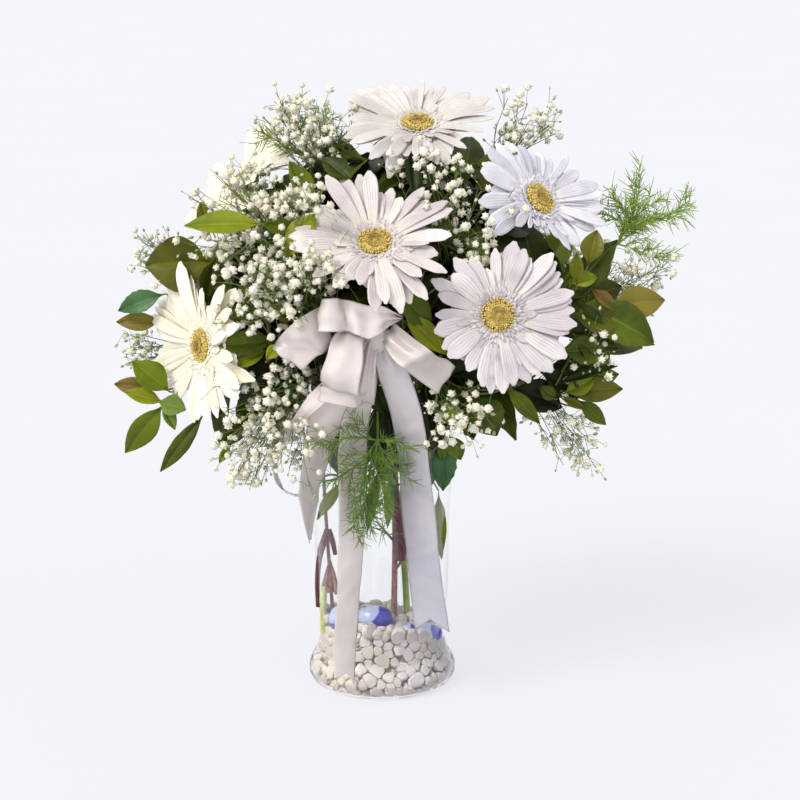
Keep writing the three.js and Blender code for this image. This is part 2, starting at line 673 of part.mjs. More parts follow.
// ---------------------------------------------------------------- asparagus fern
const FERNS = [
  { name: "right", slot: [1, -0.15], by: [[108, -10, 276]], fork: [164, -12, 322], arms: [
    [[176, -4, 350], [182, 2, 372]], [[190, -14, 338], [214, -10, 350]],
    [[178, -20, 318], [196, -26, 312]]], needles: 12 },
  { name: "top_left", slot: [-0.6, 0.9], by: [[-33, 8, 305]], fork: [-50, 6, 380], arms: [
    [[-56, 8, 396], [-62, 10, 414]], [[-44, 4, 396], [-38, 0, 412]]], needles: 12 },
  { name: "front", slot: [-0.04, -1], by: [[-2, -55, 240], [-2, -67, 228], [-2, -73, 210]],
    fork: [-2, -82, 199], arms: [[[-18, -90, 203], [-40, -90, 197]],
      [[-6, -83, 170], [-20, -79, 136]], [[5, -84, 176], [3, -82, 152]]], needles: 12 },
];
const NEEDLE_REACH = 12;

function needleFrom(root, along, random) {
  for (let attempt = 0; attempt < 5; attempt++) {
    const aim = v(spread(random, 1), spread(random, 1), spread(random, 1));
    aim.addScaledVector(along, 0.7 - aim.dot(along)).normalize();
    const tip = root.clone().addScaledVector(aim, NEEDLE_REACH * (0.8 + 0.4 * random()));
    const frame = faceFrame(root.toArray(), aim.toArray());
    const corner = (turn) => root.clone()
      .addScaledVector(frame.u, NEEDLE_ROOT * Math.cos(turn))
      .addScaledVector(frame.w, NEEDLE_ROOT * Math.sin(turn));
    const third = (2 * Math.PI) / 3;
    const needle = skin([[corner(0), corner(third), corner(2 * third)], [tip]]);
    if (isClear(needle)) return needle;
  }
  return null;
}

FERNS.forEach((fern, index) => {
  const fork = at(fern.fork);
  keepGrown(`fern_spray_${fern.name}`, COLOURS.fern, 500 + index, (random) => {
    const way = clearStem(fern.slot, FERN_CORE, [...fern.by.map(at), fork], 4, random);
    if (!way) return null;
    const parts = [way.shape];
    for (const arm of fern.arms) {
      const line = curveThrough([fork, ...arm.map(at)], 3);
      const core = tube(line, FERN_CORE, FERN_CORE * 0.8, 4);
      if (!isClear(core)) continue;
      parts.push(core);
      for (let k = 0; k < fern.needles; k++) {
        const share = 0.12 + (0.86 * (k + 0.5)) / fern.needles;
        const root = onLine(line, share);
        const along = onLine(line, Math.min(1, share + 0.05)).sub(root).normalize();
        parts.push(needleFrom(root, along, random));
      }
    }
    return parts.filter(Boolean);
  });
});

// ---------------------------------------------------------------- baby's breath
// fork of the spray, middle and half-size of its cloud of florets, twigs, slot at the rim.
const SPRAYS = [
  { name: "top_left", fork: [-38, -2, 380], cloud: [-44, 0, 416], half: [26, 18, 20], twigs: 4,
    slot: [-0.5, 1] },
  { name: "top_right", fork: [84, 4, 378], cloud: [98, 0, 408], half: [22, 14, 16], twigs: 3,
    slot: [0.9, 0.6] },
  { name: "left_high", fork: [-70, -60, 336], cloud: [-84, -84, 366], half: [36, 16, 22],
    twigs: 4, slot: [-0.6, -1] },
  { name: "left_middle", fork: [-58, -78, 300], cloud: [-58, -112, 316], half: [38, 12, 22],
    twigs: 5, slot: [-0.3, -1] },
  { name: "left_tip", fork: [-126, -40, 312], cloud: [-156, -42, 322], half: [16, 12, 12],
    twigs: 2, slot: [-1, 0.15] },
  { name: "far_left", fork: [-142, 14, 244], cloud: [-180, -8, 252], half: [14, 12, 12],
    twigs: 2, slot: [-1, 0.3] },
  { name: "lower_left", fork: [-62, -78, 226], cloud: [-78, -94, 202], half: [30, 12, 34],
    twigs: 4, slot: [-0.8, -0.6] },
  { name: "by_tail", fork: [42, -82, 236], cloud: [50, -108, 220], half: [16, 8, 18], twigs: 3,
    slot: [0.5, -1] },
  { name: "lower_right", fork: [116, -44, 222], cloud: [128, -74, 198], half: [18, 12, 20],
    twigs: 3, slot: [0.9, -0.7] },
  { name: "right", fork: [158, -34, 278], cloud: [188, -26, 298], half: [24, 14, 24], twigs: 3,
    slot: [1, -0.3] },
  { name: "middle_right", fork: [54, -58, 328], cloud: [66, -88, 346], half: [20, 12, 28],
    twigs: 3, slot: [0.8, -0.9] },
  { name: "back_left", fork: [-56, 84, 318], cloud: [-72, 108, 332], half: [40, 14, 28],
    twigs: 3, slot: [-0.4, 1] },
  { name: "back_right", fork: [104, 76, 300], cloud: [120, 92, 308], half: [34, 18, 32],
    twigs: 3, slot: [0.6, 1] },
];
const FLORETS_PER_TWIG = 3;

// Stalk and floret in one skin: notched petals opening from the end of the stalk.
function flower(from, to, thick, random) {
  const aim = to.clone().sub(from).normalize();
  const frame = faceFrame(to.toArray(), aim.toArray());
  const turn = random() * Math.PI;
  const ring = (centre, outer, inner, lift) => Array.from({ length: 6 }, (_, k) => {
    const angle = turn + (Math.PI * (inner === null ? k - (k % 2) : k)) / 3;
    const radius = inner === null || k % 2 === 0 ? outer : inner;
    return centre.clone()
      .addScaledVector(frame.u, radius * Math.cos(angle))
      .addScaledVector(frame.w, radius * Math.sin(angle))
      .addScaledVector(frame.n, k % 2 === 0 ? lift : 0);
  });
  const under = to.clone().addScaledVector(aim, -2.4);
  return skin([[from], ring(from.clone().addScaledVector(aim, 0.3), thick, null, 0),
    ring(under, thick, null, 0), ring(to, FLORET, FLORET * 0.62, 1.2),
    [to.clone().addScaledVector(aim, 2.4)]]);
}

// A twig with its end floret, then the side florets that branch from it.
function twig(root, spray, random) {
  for (let attempt = 0; attempt < 30; attempt++) {
    const end = at(spray.cloud).add(v(spread(random, spray.half[0]),
      spread(random, spray.half[1]), spread(random, spray.half[2])));
    const first = flower(root, end, TWIG, random);
    if (!isClear(first)) continue;
    const parts = [first];
    for (let side = 1; side < FLORETS_PER_TWIG; side++) {
      const from = root.clone().lerp(end, 0.4 + 0.25 * side);
      for (let again = 0; again < 12; again++) {
        const to = end.clone().add(v(spread(random, 15), spread(random, 10),
          spread(random, 15)));
        if (to.distanceTo(end) < 2.1 * FLORET || to.distanceTo(from) < 2 * FLORET) continue;
        const extra = flower(from, to, TWIG * 0.8, random);
        if (isClear(extra)) {
          parts.push(extra);
          break;
        }
      }
    }
    return parts;
  }
  return [];
}

SPRAYS.forEach((spray, index) => {
  const fork = at(spray.fork);
  const middle = v(fork.x * 0.62, fork.y * 0.62,
    Math.max(OVER_RIM, VASE_HEIGHT + (fork.z - VASE_HEIGHT) * 0.5));
  keepGrown(`babys_breath_${spray.name}`, COLOURS.floret, 700 + index, (random) => {
    const way = clearStem(spray.slot, SPRAY_STEM, [middle, fork], 4, random);
    if (!way) return null;
    const parts = [way.shape];
    for (let k = 0; k < spray.twigs; k++) {
      parts.push(...twig(onLine(way.points, 1 - 0.05 * k), spray, random));
    }
    return parts;
  });
});

// ---------------------------------------------------------------- stones in the foot
function chip(centre, radius, random) {
  const box = new THREE.BoxGeometry(1.5 * radius, 1.25 * radius, 1.05 * radius);
  const base = mergeVertices(box.deleteAttribute("normal").deleteAttribute("uv"), 1e-3);
  const spots = base.attributes.position;
  const turn = new THREE.Euler(random() * 6.28, random() * 6.28, random() * 6.28);
  for (let i = 0; i < spots.count; i++) {
    const p = v(spots.getX(i), spots.getY(i), spots.getZ(i)).multiplyScalar(0.82 + 0.3 * random());
    p.applyEuler(turn).add(centre);
    const reach = wallReach(p.z) - WALL_PLAY;
    const radial = Math.hypot(p.x, p.y);
    if (radial > reach) p.multiply(v(reach / radial, reach / radial, 1));
    p.z = Math.max(p.z, FLOOR + 2);
    spots.setXYZ(i, p.x, p.y, p.z);
  }
  return solid(Array.from(spots.array), Array.from(base.index.array));
}

const WALL_PLAY = 0.6;
const mouldLevels = [60, 52, 40, 32, 24, 17];
const mould = turned([[0, FLOOR + GAP], [insideRadius(12) - 5.5, FLOOR + GAP + 1],
  [insideRadius(12) - 1, FLOOR + GAP + 6.4], [wallReach(17), 17.2],
  ...mouldLevels.slice(0, -1).reverse().map((z) => [wallReach(z), z]), [0, 60]], VASE_SEGMENTS);
const STONES = [
  { name: "left", at: [-31, -22, 43], size: [7, 7.5, 8.5] },
  { name: "centre", at: [-9, -24, 45], size: [13.5, 8.5, 10] },
  { name: "small", at: [19, -26, 38.5], size: [5.4, 5, 5.6] },
  { name: "right", at: [31, -8, 41], size: [9.6, 8.6, 6.4] },
  { name: "back", at: [-12, 22, 42], size: [12, 9, 8] },
];

function stone({ at: centre, size }, grow) {
  const ball = new THREE.IcosahedronGeometry(1, 1);
  ball.scale(size[0] + grow, size[1] + grow, size[2] + grow);
  ball.translate(centre[0], centre[1], centre[2]);
  return solid(Array.from(ball.attributes.position.array),
    Array.from({ length: ball.attributes.position.count }, (_, i) => i));
}

const TOP_CHIPS = 8;
const GOLDEN = 2.39996;         // turn between one top chip and the next
const random = seeded(900);
const bed = [turned([[0, FLOOR + 2], [40, FLOOR + 3], [40, 18], [36, 30], [0, BED_TOP - 2]], 12)];
for (const [z, count] of [[15, 13], [29, 12]]) {
  for (let k = 0; k < count; k++) {
    const angle = (2 * Math.PI * (k + 0.5 * (z % 3))) / count + spread(random, 0.05);
    const radius = insideRadius(z) - CHIP_RADIUS * 0.6;
    bed.push(chip(v(radius * Math.cos(angle), radius * Math.sin(angle), z + spread(random, 1)),
      CHIP_RADIUS, random));
  }
}
for (let k = 0; k < TOP_CHIPS; k++) {
  const angle = k * GOLDEN;
  const radius = 30 * Math.sqrt((k + 0.5) / TOP_CHIPS);
  bed.push(chip(v(radius * Math.cos(angle), radius * Math.sin(angle), BED_TOP - 1.5),
    CHIP_RADIUS, random));
}
let bedShape = joined(bed).intersect(mould);
for (const each of STONES) {
  const shape = stone(each, 0).intersect(mould);
  const others = placed.filter((other) => other.name.includes("stem")
    || other.name.includes("sprig"));
  if (others.some((other) => shape.minGap(other.shape, 2 * GAP) < GAP)) {
    console.log(`stone meets a stem: ${each.name}`);
  }
  bedShape = bedShape.subtract(stone(each, GAP + 0.1));
  keep(`blue_stone_${each.name}`, shape, COLOURS.blue);
}
// Plain holes for the stems that stand in the bed.
for (const foot of [[19, 12, 12], [-34, -10, 14], [8, 2, 12]]) {
  const hole = turned([[0, foot[2]], [3.6, foot[2]], [3.6, 60], [0, 60]], 8);
  bedShape = bedShape.subtract(hole.translate([foot[0], foot[1], 0]));
}
keep("pebble_bed", bedShape, COLOURS.pebble);

let faces = 0;
for (const mesh of centerpiece.children) {
  faces += mesh.geometry.index.count / 3;
  console.log(`${mesh.name} ${mesh.geometry.index.count / 3}`);
}
console.log(`triangles: ${faces}`);

export default centerpiece;
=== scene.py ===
"""The looks of the floral table centerpiece: a glass vase with stones, white gerberas, leafy
sprigs, asparagus fern, baby's breath and a satin bow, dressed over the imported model."""

import math
import random

import bmesh
import bpy
import numpy as np
from mathutils import Matrix, Vector


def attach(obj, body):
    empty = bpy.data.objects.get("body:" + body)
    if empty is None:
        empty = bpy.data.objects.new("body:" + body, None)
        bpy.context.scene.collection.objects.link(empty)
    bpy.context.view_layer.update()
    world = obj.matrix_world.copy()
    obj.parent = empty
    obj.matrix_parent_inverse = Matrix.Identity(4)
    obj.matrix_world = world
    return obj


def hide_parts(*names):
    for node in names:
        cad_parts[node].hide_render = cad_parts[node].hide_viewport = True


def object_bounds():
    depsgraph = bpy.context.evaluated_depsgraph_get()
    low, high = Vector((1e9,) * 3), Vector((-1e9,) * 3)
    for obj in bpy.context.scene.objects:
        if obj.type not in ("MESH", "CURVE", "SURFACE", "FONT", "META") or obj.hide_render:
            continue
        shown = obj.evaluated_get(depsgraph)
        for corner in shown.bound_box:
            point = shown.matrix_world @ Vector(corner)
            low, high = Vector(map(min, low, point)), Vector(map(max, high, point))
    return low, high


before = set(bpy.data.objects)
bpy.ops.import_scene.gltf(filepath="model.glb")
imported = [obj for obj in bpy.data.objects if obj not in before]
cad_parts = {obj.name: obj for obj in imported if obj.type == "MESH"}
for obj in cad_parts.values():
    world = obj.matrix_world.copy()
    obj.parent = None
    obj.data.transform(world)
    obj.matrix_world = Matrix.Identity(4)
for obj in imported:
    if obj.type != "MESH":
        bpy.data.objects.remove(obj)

cad_low, cad_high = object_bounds()

# ------------------------------------------------------------------ sizes of the arrangement, m
VASE_HEIGHT = 0.2256
VASE_SIDES = 96
RIBBON_WIDTH = 0.025
SATIN_THICK = 0.0003
PETAL_LENGTH = 0.045
PETAL_WIDTH = 0.0108
PETAL_THICK = 0.0006
LEAF_LENGTH = 0.05
LEAF_WIDTH = 0.022
LEAF_THICK = 0.0007
DISC_RADIUS = 0.0098
HUB_DEPTH = 0.0034
PETAL_ROOT = 0.0088
BLOOM_STEM = 0.0025
SPRIG_STEM = 0.0013
SPRAY_STEM = 0.0008
FLORET = 0.0061                 # across one floret of baby's breath
OVER_RIM = VASE_HEIGHT + 0.020
NECK_HEIGHTS = [0.015, 0.03, 0.05, 0.08, 0.11, 0.14, 0.1735, 0.19, 0.207, 0.222]
NECK_REACH = 0.0535             # how far from the middle a stem stands at those heights
UP = np.array([0.0, 0.0, 1.0])
GOLDEN_TURN = 2.39996           # the turn from one point to the next that spreads them evenly

# Radius and height along the glass, mm: outside from foot to rim, inside from rim to floor.
OUTSIDE = [
    (41, 0), (46.5, 1.2), (51, 4.5), (53.3, 11), (52, 17), (48.1, 24), (44.3, 40),
    (46.8, 61), (48.2, 110), (49.3, 143), (51.8, 175), (56, 224), (54.5, 225.6),
]
INSIDE = [
    (54, 224), (50.2, 175), (47.7, 143), (46.8, 110), (45.5, 61), (43.1, 40), (46.9, 24.3),
    (50.9, 17), (52.3, 11.2), (50.1, 5.4), (45.9, 2.2), (41, 1.1), (30, 0.9),
]

# The camera of the photograph: where it stands, where it aims (m) and its lens (mm).
EYE = np.array([0.013, -1.4644, 0.5332])
AIM = np.array([0.013, 0.0, 0.2085])
LENS = 95.07
SENSOR = 36.0
PHOTO_WIDTH = 800               # pixels
FLOOR_RADIUS = 30.0
PIXEL = 0.71                    # mm that a pixel shows in the middle of the bouquet


# ------------------------------------------------------------------ points and ways
def at(*point):
    """A point given in millimetres, in metres."""
    return np.array(point, float) * 0.001


def unit(rows):
    """Directions of the rows, each one metre long."""
    rows = np.asarray(rows, float)
    return rows / np.maximum(np.linalg.norm(rows, axis=-1, keepdims=True), 1e-12)


def around(u, w, angle):
    """The direction at an angle in the plane of two axes."""
    return u * math.cos(angle) + w * math.sin(angle)


def scattered(draw, spread=1.0):
    """A random offset, drawn for one axis after the other."""
    return np.array([draw.gauss(0, spread), draw.gauss(0, spread), draw.gauss(0, spread)])


def sight(x, y):
    """The direction in which the camera sees a pixel of the photograph, 800 pixels wide."""
    ahead = unit(AIM - EYE)
    right = np.array([1.0, 0.0, 0.0])
    above = np.cross(right, ahead)
    middle = PHOTO_WIDTH / 2
    return unit(ahead * LENS / SENSOR * PHOTO_WIDTH + right * (x - middle) + above * (middle - y))


def seen_at(x, y, depth):
    """The place, at a depth in mm, that the photograph shows at a pixel."""
    way = sight(x, y)
    return EYE + way * (depth * 0.001 - EYE[1]) / way[1]


def smooth_way(points):
    """A smooth line through the points, as a function from shares of its length to places."""
    knots = np.array(points, float)
    steps = np.linalg.norm(np.diff(knots, axis=0), axis=1)
    marks = np.concatenate([[0.0], np.cumsum(steps)]) / steps.sum()
    slopes = np.gradient(knots, marks, axis=0)

    def place(shares):
        shares = np.clip(np.atleast_1d(shares), 0.0, 1.0)
        k = np.clip(np.searchsorted(marks, shares, side="right") - 1, 0, len(marks) - 2)
        span = (marks[k + 1] - marks[k])[:, None]
        t = ((shares - marks[k])[:, None]) / span
        before = (2 * t**3 - 3 * t**2 + 1) * knots[k] + (t**3 - 2 * t**2 + t) * span * slopes[k]
        after = (3 * t**2 - 2 * t**3) * knots[k + 1] + (t**3 - t**2) * span * slopes[k + 1]
        return before + after

    return place


def way_length(place):
    """How long the line of a function from shares to places is."""
    return float(np.linalg.norm(np.diff(place(np.linspace(0, 1, 60)), axis=0), axis=1).sum())


def read_points(mesh):
    spots = np.zeros(len(mesh.vertices) * 3, np.float32)
    mesh.vertices.foreach_get("co", spots)
    return spots.reshape(-1, 3).astype(float)


def write_points(mesh, spots):
    mesh.vertices.foreach_set("co", np.asarray(spots, np.float32).ravel())
    mesh.update()


def crossing(node, height, within):
    """Where a node's stem passes a height inside the glass: the middle of its section there."""
    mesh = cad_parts[node].data
    spots = read_points(mesh)
    ends = np.zeros(len(mesh.edges) * 2, np.int32)
    mesh.edges.foreach_get("vertices", ends)
    low, high = spots[ends.reshape(-1, 2)[:, 0]], spots[ends.reshape(-1, 2)[:, 1]]
    passes = (low[:, 2] - height) * (high[:, 2] - height) < 0
    low, high = low[passes], high[passes]
    share = ((height - low[:, 2]) / (high[:, 2] - low[:, 2]))[:, None]
    found = low + share * (high - low)
    found = found[np.hypot(found[:, 0], found[:, 1]) < within]
    return found.mean(axis=0) if len(found) else None


def neck_route(node):
    """The stem of a node from its foot to the rim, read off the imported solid."""
    found = [crossing(node, height, NECK_REACH) for height in NECK_HEIGHTS]
    return [place for place in found if place is not None]


# ------------------------------------------------------------------ modelling by hand
blanks = []                     # patterns that are copied and then thrown away


def deselect():
    if bpy.context.object and bpy.context.object.mode != "OBJECT":
        bpy.ops.object.mode_set(mode="OBJECT")
    bpy.ops.object.select_all(action="DESELECT")


def edit():
    bpy.ops.object.mode_set(mode="EDIT")
    bpy.ops.mesh.select_mode(type="VERT")


def pick(test):
    """Selects just the points of the shape in edit mode whose place passes the test."""
    form = bmesh.from_edit_mesh(bpy.context.edit_object.data)
    for point in form.verts:
        point.select_set(bool(test(point.co)))
    form.select_flush_mode()
    bmesh.update_edit_mesh(bpy.context.edit_object.data)


def pick_faces(test):
    """Selects just the faces whose middle and normal pass the test."""
    bpy.ops.mesh.select_mode(type="FACE")
    form = bmesh.from_edit_mesh(bpy.context.edit_object.data)
    for face in form.faces:
        face.select_set(bool(test(face.calc_center_median(), face.normal)))
    form.select_flush_mode()
    bmesh.update_edit_mesh(bpy.context.edit_object.data)


def add_modifier(piece, kind, **settings):
    """Adds a modifier and applies it."""
    deselect()
    piece.select_set(True)
    bpy.context.view_layer.objects.active = piece
    modifier = piece.modifiers.new(kind.title(), kind)
    for name, value in settings.items():
        setattr(modifier, name, value)
    bpy.ops.object.modifier_apply(modifier=modifier.name)


def shade(piece, angle=None):
    """Smooth shading, all over or up to an angle between faces."""
    deselect()
    piece.select_set(True)
    bpy.context.view_layer.objects.active = piece
    if angle is None:
        bpy.ops.object.shade_smooth()
    else:
        bpy.ops.object.shade_smooth_by_angle(angle=math.radians(angle))


def as_blank(piece, name, finish):
    """Keeps a modelled shape as a pattern, with its finish and room for a tint."""
    piece.name = name
    piece.data.materials.clear()
    piece.data.materials.append(finish)
    piece.data.attributes.new("tint", "FLOAT", "POINT")
    blanks.append(piece)
    return piece


def copied(blank, tint):
    """A copy of a pattern with its own mesh."""
    piece = blank.copy()
    piece.data = blank.data.copy()
    bpy.context.scene.collection.objects.link(piece)
    values = np.full(len(piece.data.vertices), tint, np.float32)
    piece.data.attributes["tint"].data.foreach_set("value", values)
    return piece


def laid(blank, length, place, facing, tint=0.5, wide=1.0, fold=0.0, roll=0.0):
    """A copy of a flat pattern laid along a way, its upper side turned to facing.
    fold lifts its sides and roll turns it about its own length, both growing from the root."""
    piece = copied(blank, tint)
    spots = read_points(piece.data)
    share = np.clip(spots[:, 1] / length, 0.0, 1.0)
    spine = place(share)
    ahead = unit(place(np.minimum(share + 0.03, 1.0)) - place(np.maximum(share - 0.03, 0.0)))
    side = unit(np.cross(ahead, np.asarray(facing, float)))
    rise = np.cross(side, ahead)
    turn = (roll * np.minimum(1.0, 3.0 * share))[:, None]
    side, rise = side * np.cos(turn) + rise * np.sin(turn), rise * np.cos(turn) - side * np.sin(turn)
    across = spots[:, 0] * wide
    lift = spots[:, 2] + fold * np.abs(across)
    write_points(piece.data, spine + side * across[:, None] + rise * lift[:, None])
    return piece


def set_down(blank, place, aim, size=1.0, spin=0.0, tint=0.5):
    """A copy of a pattern whose own up is turned to aim, put at a place."""
    piece = copied(blank, tint)
    turn = Vector(aim).to_track_quat("Z", "Y").to_matrix().to_4x4()
    sizes = size if hasattr(size, "__len__") else (size, size, size)
    scale = Matrix.Diagonal((*sizes, 1.0))
    piece.data.transform(
        Matrix.Translation(Vector(place)) @ turn @ Matrix.Rotation(spin, 4, "Z") @ scale
    )
    return piece


def tubes(routes, finish, sides=0, tint=0.0):
    """Round stems along routes of (points, first radius, last radius), as one mesh."""
    curve = bpy.data.curves.new("stems", "CURVE")
    curve.dimensions = "3D"
    curve.bevel_depth = 1.0
    curve.bevel_resolution = sides
    curve.use_fill_caps = True
    for points, first, last in routes:
        line = curve.splines.new("POLY")
        line.points.add(len(points) - 1)
        for k, (point, spot) in enumerate(zip(line.points, points)):
            point.co = (*spot, 1.0)
            point.radius = first + (last - first) * k / max(1, len(points) - 1)
    piece = bpy.data.objects.new("stems", curve)
    bpy.context.scene.collection.objects.link(piece)
    deselect()
    piece.select_set(True)
    bpy.context.view_layer.objects.active = piece
    bpy.ops.object.convert(target="MESH")
    piece = bpy.context.object
    piece.data.materials.clear()
    piece.data.materials.append(finish)
    values = np.full(len(piece.data.vertices), tint, np.float32)
    piece.data.attributes.new("tint", "FLOAT", "POINT").data.foreach_set("value", values)
    bpy.ops.object.shade_smooth()
    return piece


def one_piece(name, parts, slot, *nodes):
    """Joins the parts into one named piece that stands for its nodes and rides on the root."""
    deselect()
    for part in parts:
        part.select_set(True)
    bpy.context.view_layer.objects.active = parts[0]
    if len(parts) > 1:
        bpy.ops.object.join()
    piece = bpy.context.object
    piece.name = name
    piece.data.name = name
    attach(piece, "root")
    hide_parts(*nodes)
    return piece


# ------------------------------------------------------------------ camera, light and floor
def set_camera():
    """The camera stands where the photographer's did, aimed at the bouquet."""
    data = bpy.data.cameras.new("photo_camera")
    data.lens = LENS
    data.sensor_width = SENSOR
    camera = bpy.data.objects.new("photo_camera", data)
    camera.location = Vector(EYE)
    camera.rotation_euler = Vector(AIM - EYE).to_track_quat("-Z", "Y").to_euler()
    bpy.context.scene.collection.objects.link(camera)
    bpy.context.scene.camera = camera


def sun(name, comes_from, strength, colour, softness):
    """Even light over the whole studio, from one side; softness is its angle in degrees."""
    data = bpy.data.lights.new(name, "SUN")
    data.energy = strength
    data.color = colour
    data.angle = math.radians(softness)
    sun_object = bpy.data.objects.new(name, data)
    sun_object.rotation_euler = Vector(comes_from).to_track_quat("Z", "Y").to_euler()
    bpy.context.scene.collection.objects.link(sun_object)


def set_studio():
    """An even pale room, a broad key light from the upper left and a weak fill from the right."""
    world = bpy.data.worlds.new("studio")
    world.use_nodes = True
    background = world.node_tree.nodes["Background"]
    background.inputs["Color"].default_value = (0.97, 0.965, 1.0, 1.0)
    background.inputs["Strength"].default_value = 0.72
    bpy.context.scene.world = world
    sun("key", (-0.55, -0.58, 0.74), 2.3, (1.0, 0.965, 0.93), 26.0)
    sun("fill", (0.75, -0.8, 0.35), 0.35, (0.92, 0.93, 1.0), 70.0)
    bpy.context.scene.view_settings.view_transform = "Standard"


# ------------------------------------------------------------------ finishes
def tone(red, green, blue):
    """A colour as seen on a screen, 0 to 255, as the renderer's linear colour."""
    def linear(value):
        value /= 255.0
        return value / 12.92 if value <= 0.04045 else ((value + 0.055) / 1.055) ** 2.4
    return (linear(red), linear(green), linear(blue), 1.0)


def new_group(name, inputs, outputs):
    """A node group with its named sockets: the group, its input node and its output node."""
    group = bpy.data.node_groups.new(name, "ShaderNodeTree")
    for label, kind, value in inputs:
        socket = group.interface.new_socket(name=label, in_out="INPUT", socket_type=kind)
        socket.default_value = value
    for label, kind in outputs:
        group.interface.new_socket(name=label, in_out="OUTPUT", socket_type=kind)
    return group, group.nodes.new("NodeGroupInput"), group.nodes.new("NodeGroupOutput")


def mixed(tree, factor, first, second):
    """A colour mix; each of the three is a socket or a plain value."""
    node = tree.nodes.new("ShaderNodeMix")
    node.data_type = "RGBA"
    for socket, value in zip((node.inputs[0], node.inputs[6], node.inputs[7]), (factor, first, second)):
        if hasattr(value, "node"):
            tree.links.new(value, socket)
        else:
            socket.default_value = value
    return node.outputs[2]


def reckoned(tree, operation, first, second=0.0, third=0.0):
    """One step of arithmetic; each value is a socket or a number."""
    node = tree.nodes.new("ShaderNodeMath")
    node.operation = operation
    for socket, value in zip(node.inputs, (first, second, third)):
        if hasattr(value, "node"):
            tree.links.new(value, socket)
        else:
            socket.default_value = value
    return node.outputs[0]


def ramped(tree, value, low, high, out_low=0.0, out_high=1.0):
    """A soft step from one value to another between low and high."""
    node = tree.nodes.new("ShaderNodeMapRange")
    node.interpolation_type = "SMOOTHSTEP"
    for label, number in (("From Min", low), ("From Max", high), ("To Min", out_low), ("To Max", out_high)):
        node.inputs[label].default_value = number
    tree.links.new(value, node.inputs["Value"])
    return node.outputs[0]


def noise_of(tree, scale, detail=3.0, roughness=0.55):
    """Clouded noise on the object's own coordinates; scale is a number or a socket."""
    place = tree.nodes.new("ShaderNodeTexCoord")
    node = tree.nodes.new("ShaderNodeTexNoise")
    tree.links.new(place.outputs["Object"], node.inputs["Vector"])
    if hasattr(scale, "node"):
        tree.links.new(scale, node.inputs["Scale"])
    else:
        node.inputs["Scale"].default_value = scale
    node.inputs["Detail"].default_value = detail
    node.inputs["Roughness"].default_value = roughness
    return node.outputs["Fac"]


def tint_of(tree):
    """The tint that each copy of a pattern carries, 0 to 1."""
    node = tree.nodes.new("ShaderNodeAttribute")
    node.attribute_name = "tint"
    return node.outputs["Fac"]


def split_map(tree):
    """The piece's own map: across and along."""
    node = tree.nodes.new("ShaderNodeUVMap")
    parts = tree.nodes.new("ShaderNodeSeparateXYZ")
    tree.links.new(node.outputs["UV"], parts.inputs[0])
    return parts.outputs["X"], parts.outputs["Y"]


def make_mottle_group():
    """Two colours clouded into each other, and nudged by the piece's tint."""
    colour = (0.5, 0.5, 0.5, 1.0)
    group, given, made = new_group("Clouded Colour", [
        ("Light", "NodeSocketColor", colour), ("Dark", "NodeSocketColor", colour),
        ("Scale", "NodeSocketFloat", 40.0), ("Clouds", "NodeSocketFloat", 0.5),
        ("Tint Share", "NodeSocketFloat", 0.5),
    ], [("Color", "NodeSocketColor")])
    clouds = ramped(group, noise_of(group, given.outputs["Scale"]), 0.3, 0.7)
    by_cloud = reckoned(group, "MULTIPLY", clouds, given.outputs["Clouds"])
    by_tint = reckoned(group, "MULTIPLY", tint_of(group), given.outputs["Tint Share"])
    share = reckoned(group, "ADD", by_cloud, by_tint)
    share.node.use_clamp = True
    blended = mixed(group, share, given.outputs["Light"], given.outputs["Dark"])
    group.links.new(blended, made.inputs["Color"])
    return group


def make_rib_group():
    """Ribs along a blade: lines that run with its length, from the piece's own map."""
    group, given, made = new_group("Ribs Along", [
        ("Ribs", "NodeSocketFloat", 6.0), ("Depth", "NodeSocketFloat", 1.0),
    ], [("Height", "NodeSocketFloat"), ("Along", "NodeSocketFloat")])
    across, along = split_map(group)
    turns = reckoned(group, "MULTIPLY", across, reckoned(group, "MULTIPLY", given.outputs["Ribs"], math.tau))
    wave = reckoned(group, "SINE", turns)
    fade = ramped(group, along, 0.98, 0.7)
    height = reckoned(group, "MULTIPLY", reckoned(group, "MULTIPLY", wave, fade), given.outputs["Depth"])
    group.links.new(height, made.inputs["Height"])
    group.links.new(along, made.inputs["Along"])
    return group


def make_vein_group():
    """Midrib and slanting side veins of a leaf, from the piece's own map."""
    group, given, made = new_group("Leaf Veins", [
        ("Pairs", "NodeSocketFloat", 8.0), ("Slant", "NodeSocketFloat", 0.55),
    ], [("Midrib", "NodeSocketFloat"), ("Veins", "NodeSocketFloat")])
    across, along = split_map(group)
    off = reckoned(group, "ABSOLUTE", reckoned(group, "SUBTRACT", across, 0.5))
    midrib = ramped(group, off, 0.045, 0.008)
    slanted = reckoned(group, "SUBTRACT", along, reckoned(group, "MULTIPLY", off, given.outputs["Slant"]))
    round_once = reckoned(group, "MULTIPLY", given.outputs["Pairs"], math.tau)
    turns = reckoned(group, "MULTIPLY", slanted, round_once)
    lines = ramped(group, reckoned(group, "COSINE", turns), 0.86, 1.0)
    lines = reckoned(group, "MULTIPLY", lines, ramped(group, off, 0.5, 0.3))
    group.links.new(midrib, made.inputs["Midrib"])
    group.links.new(lines, made.inputs["Veins"])
    return group


def placed_group(tree, group, **values):
    """A group put into a tree; a socket's name has _ for its spaces."""
    node = tree.nodes.new("ShaderNodeGroup")
    node.node_tree = group
    for label, value in values.items():
        node.inputs[label.replace("_", " ")].default_value = value
    return node


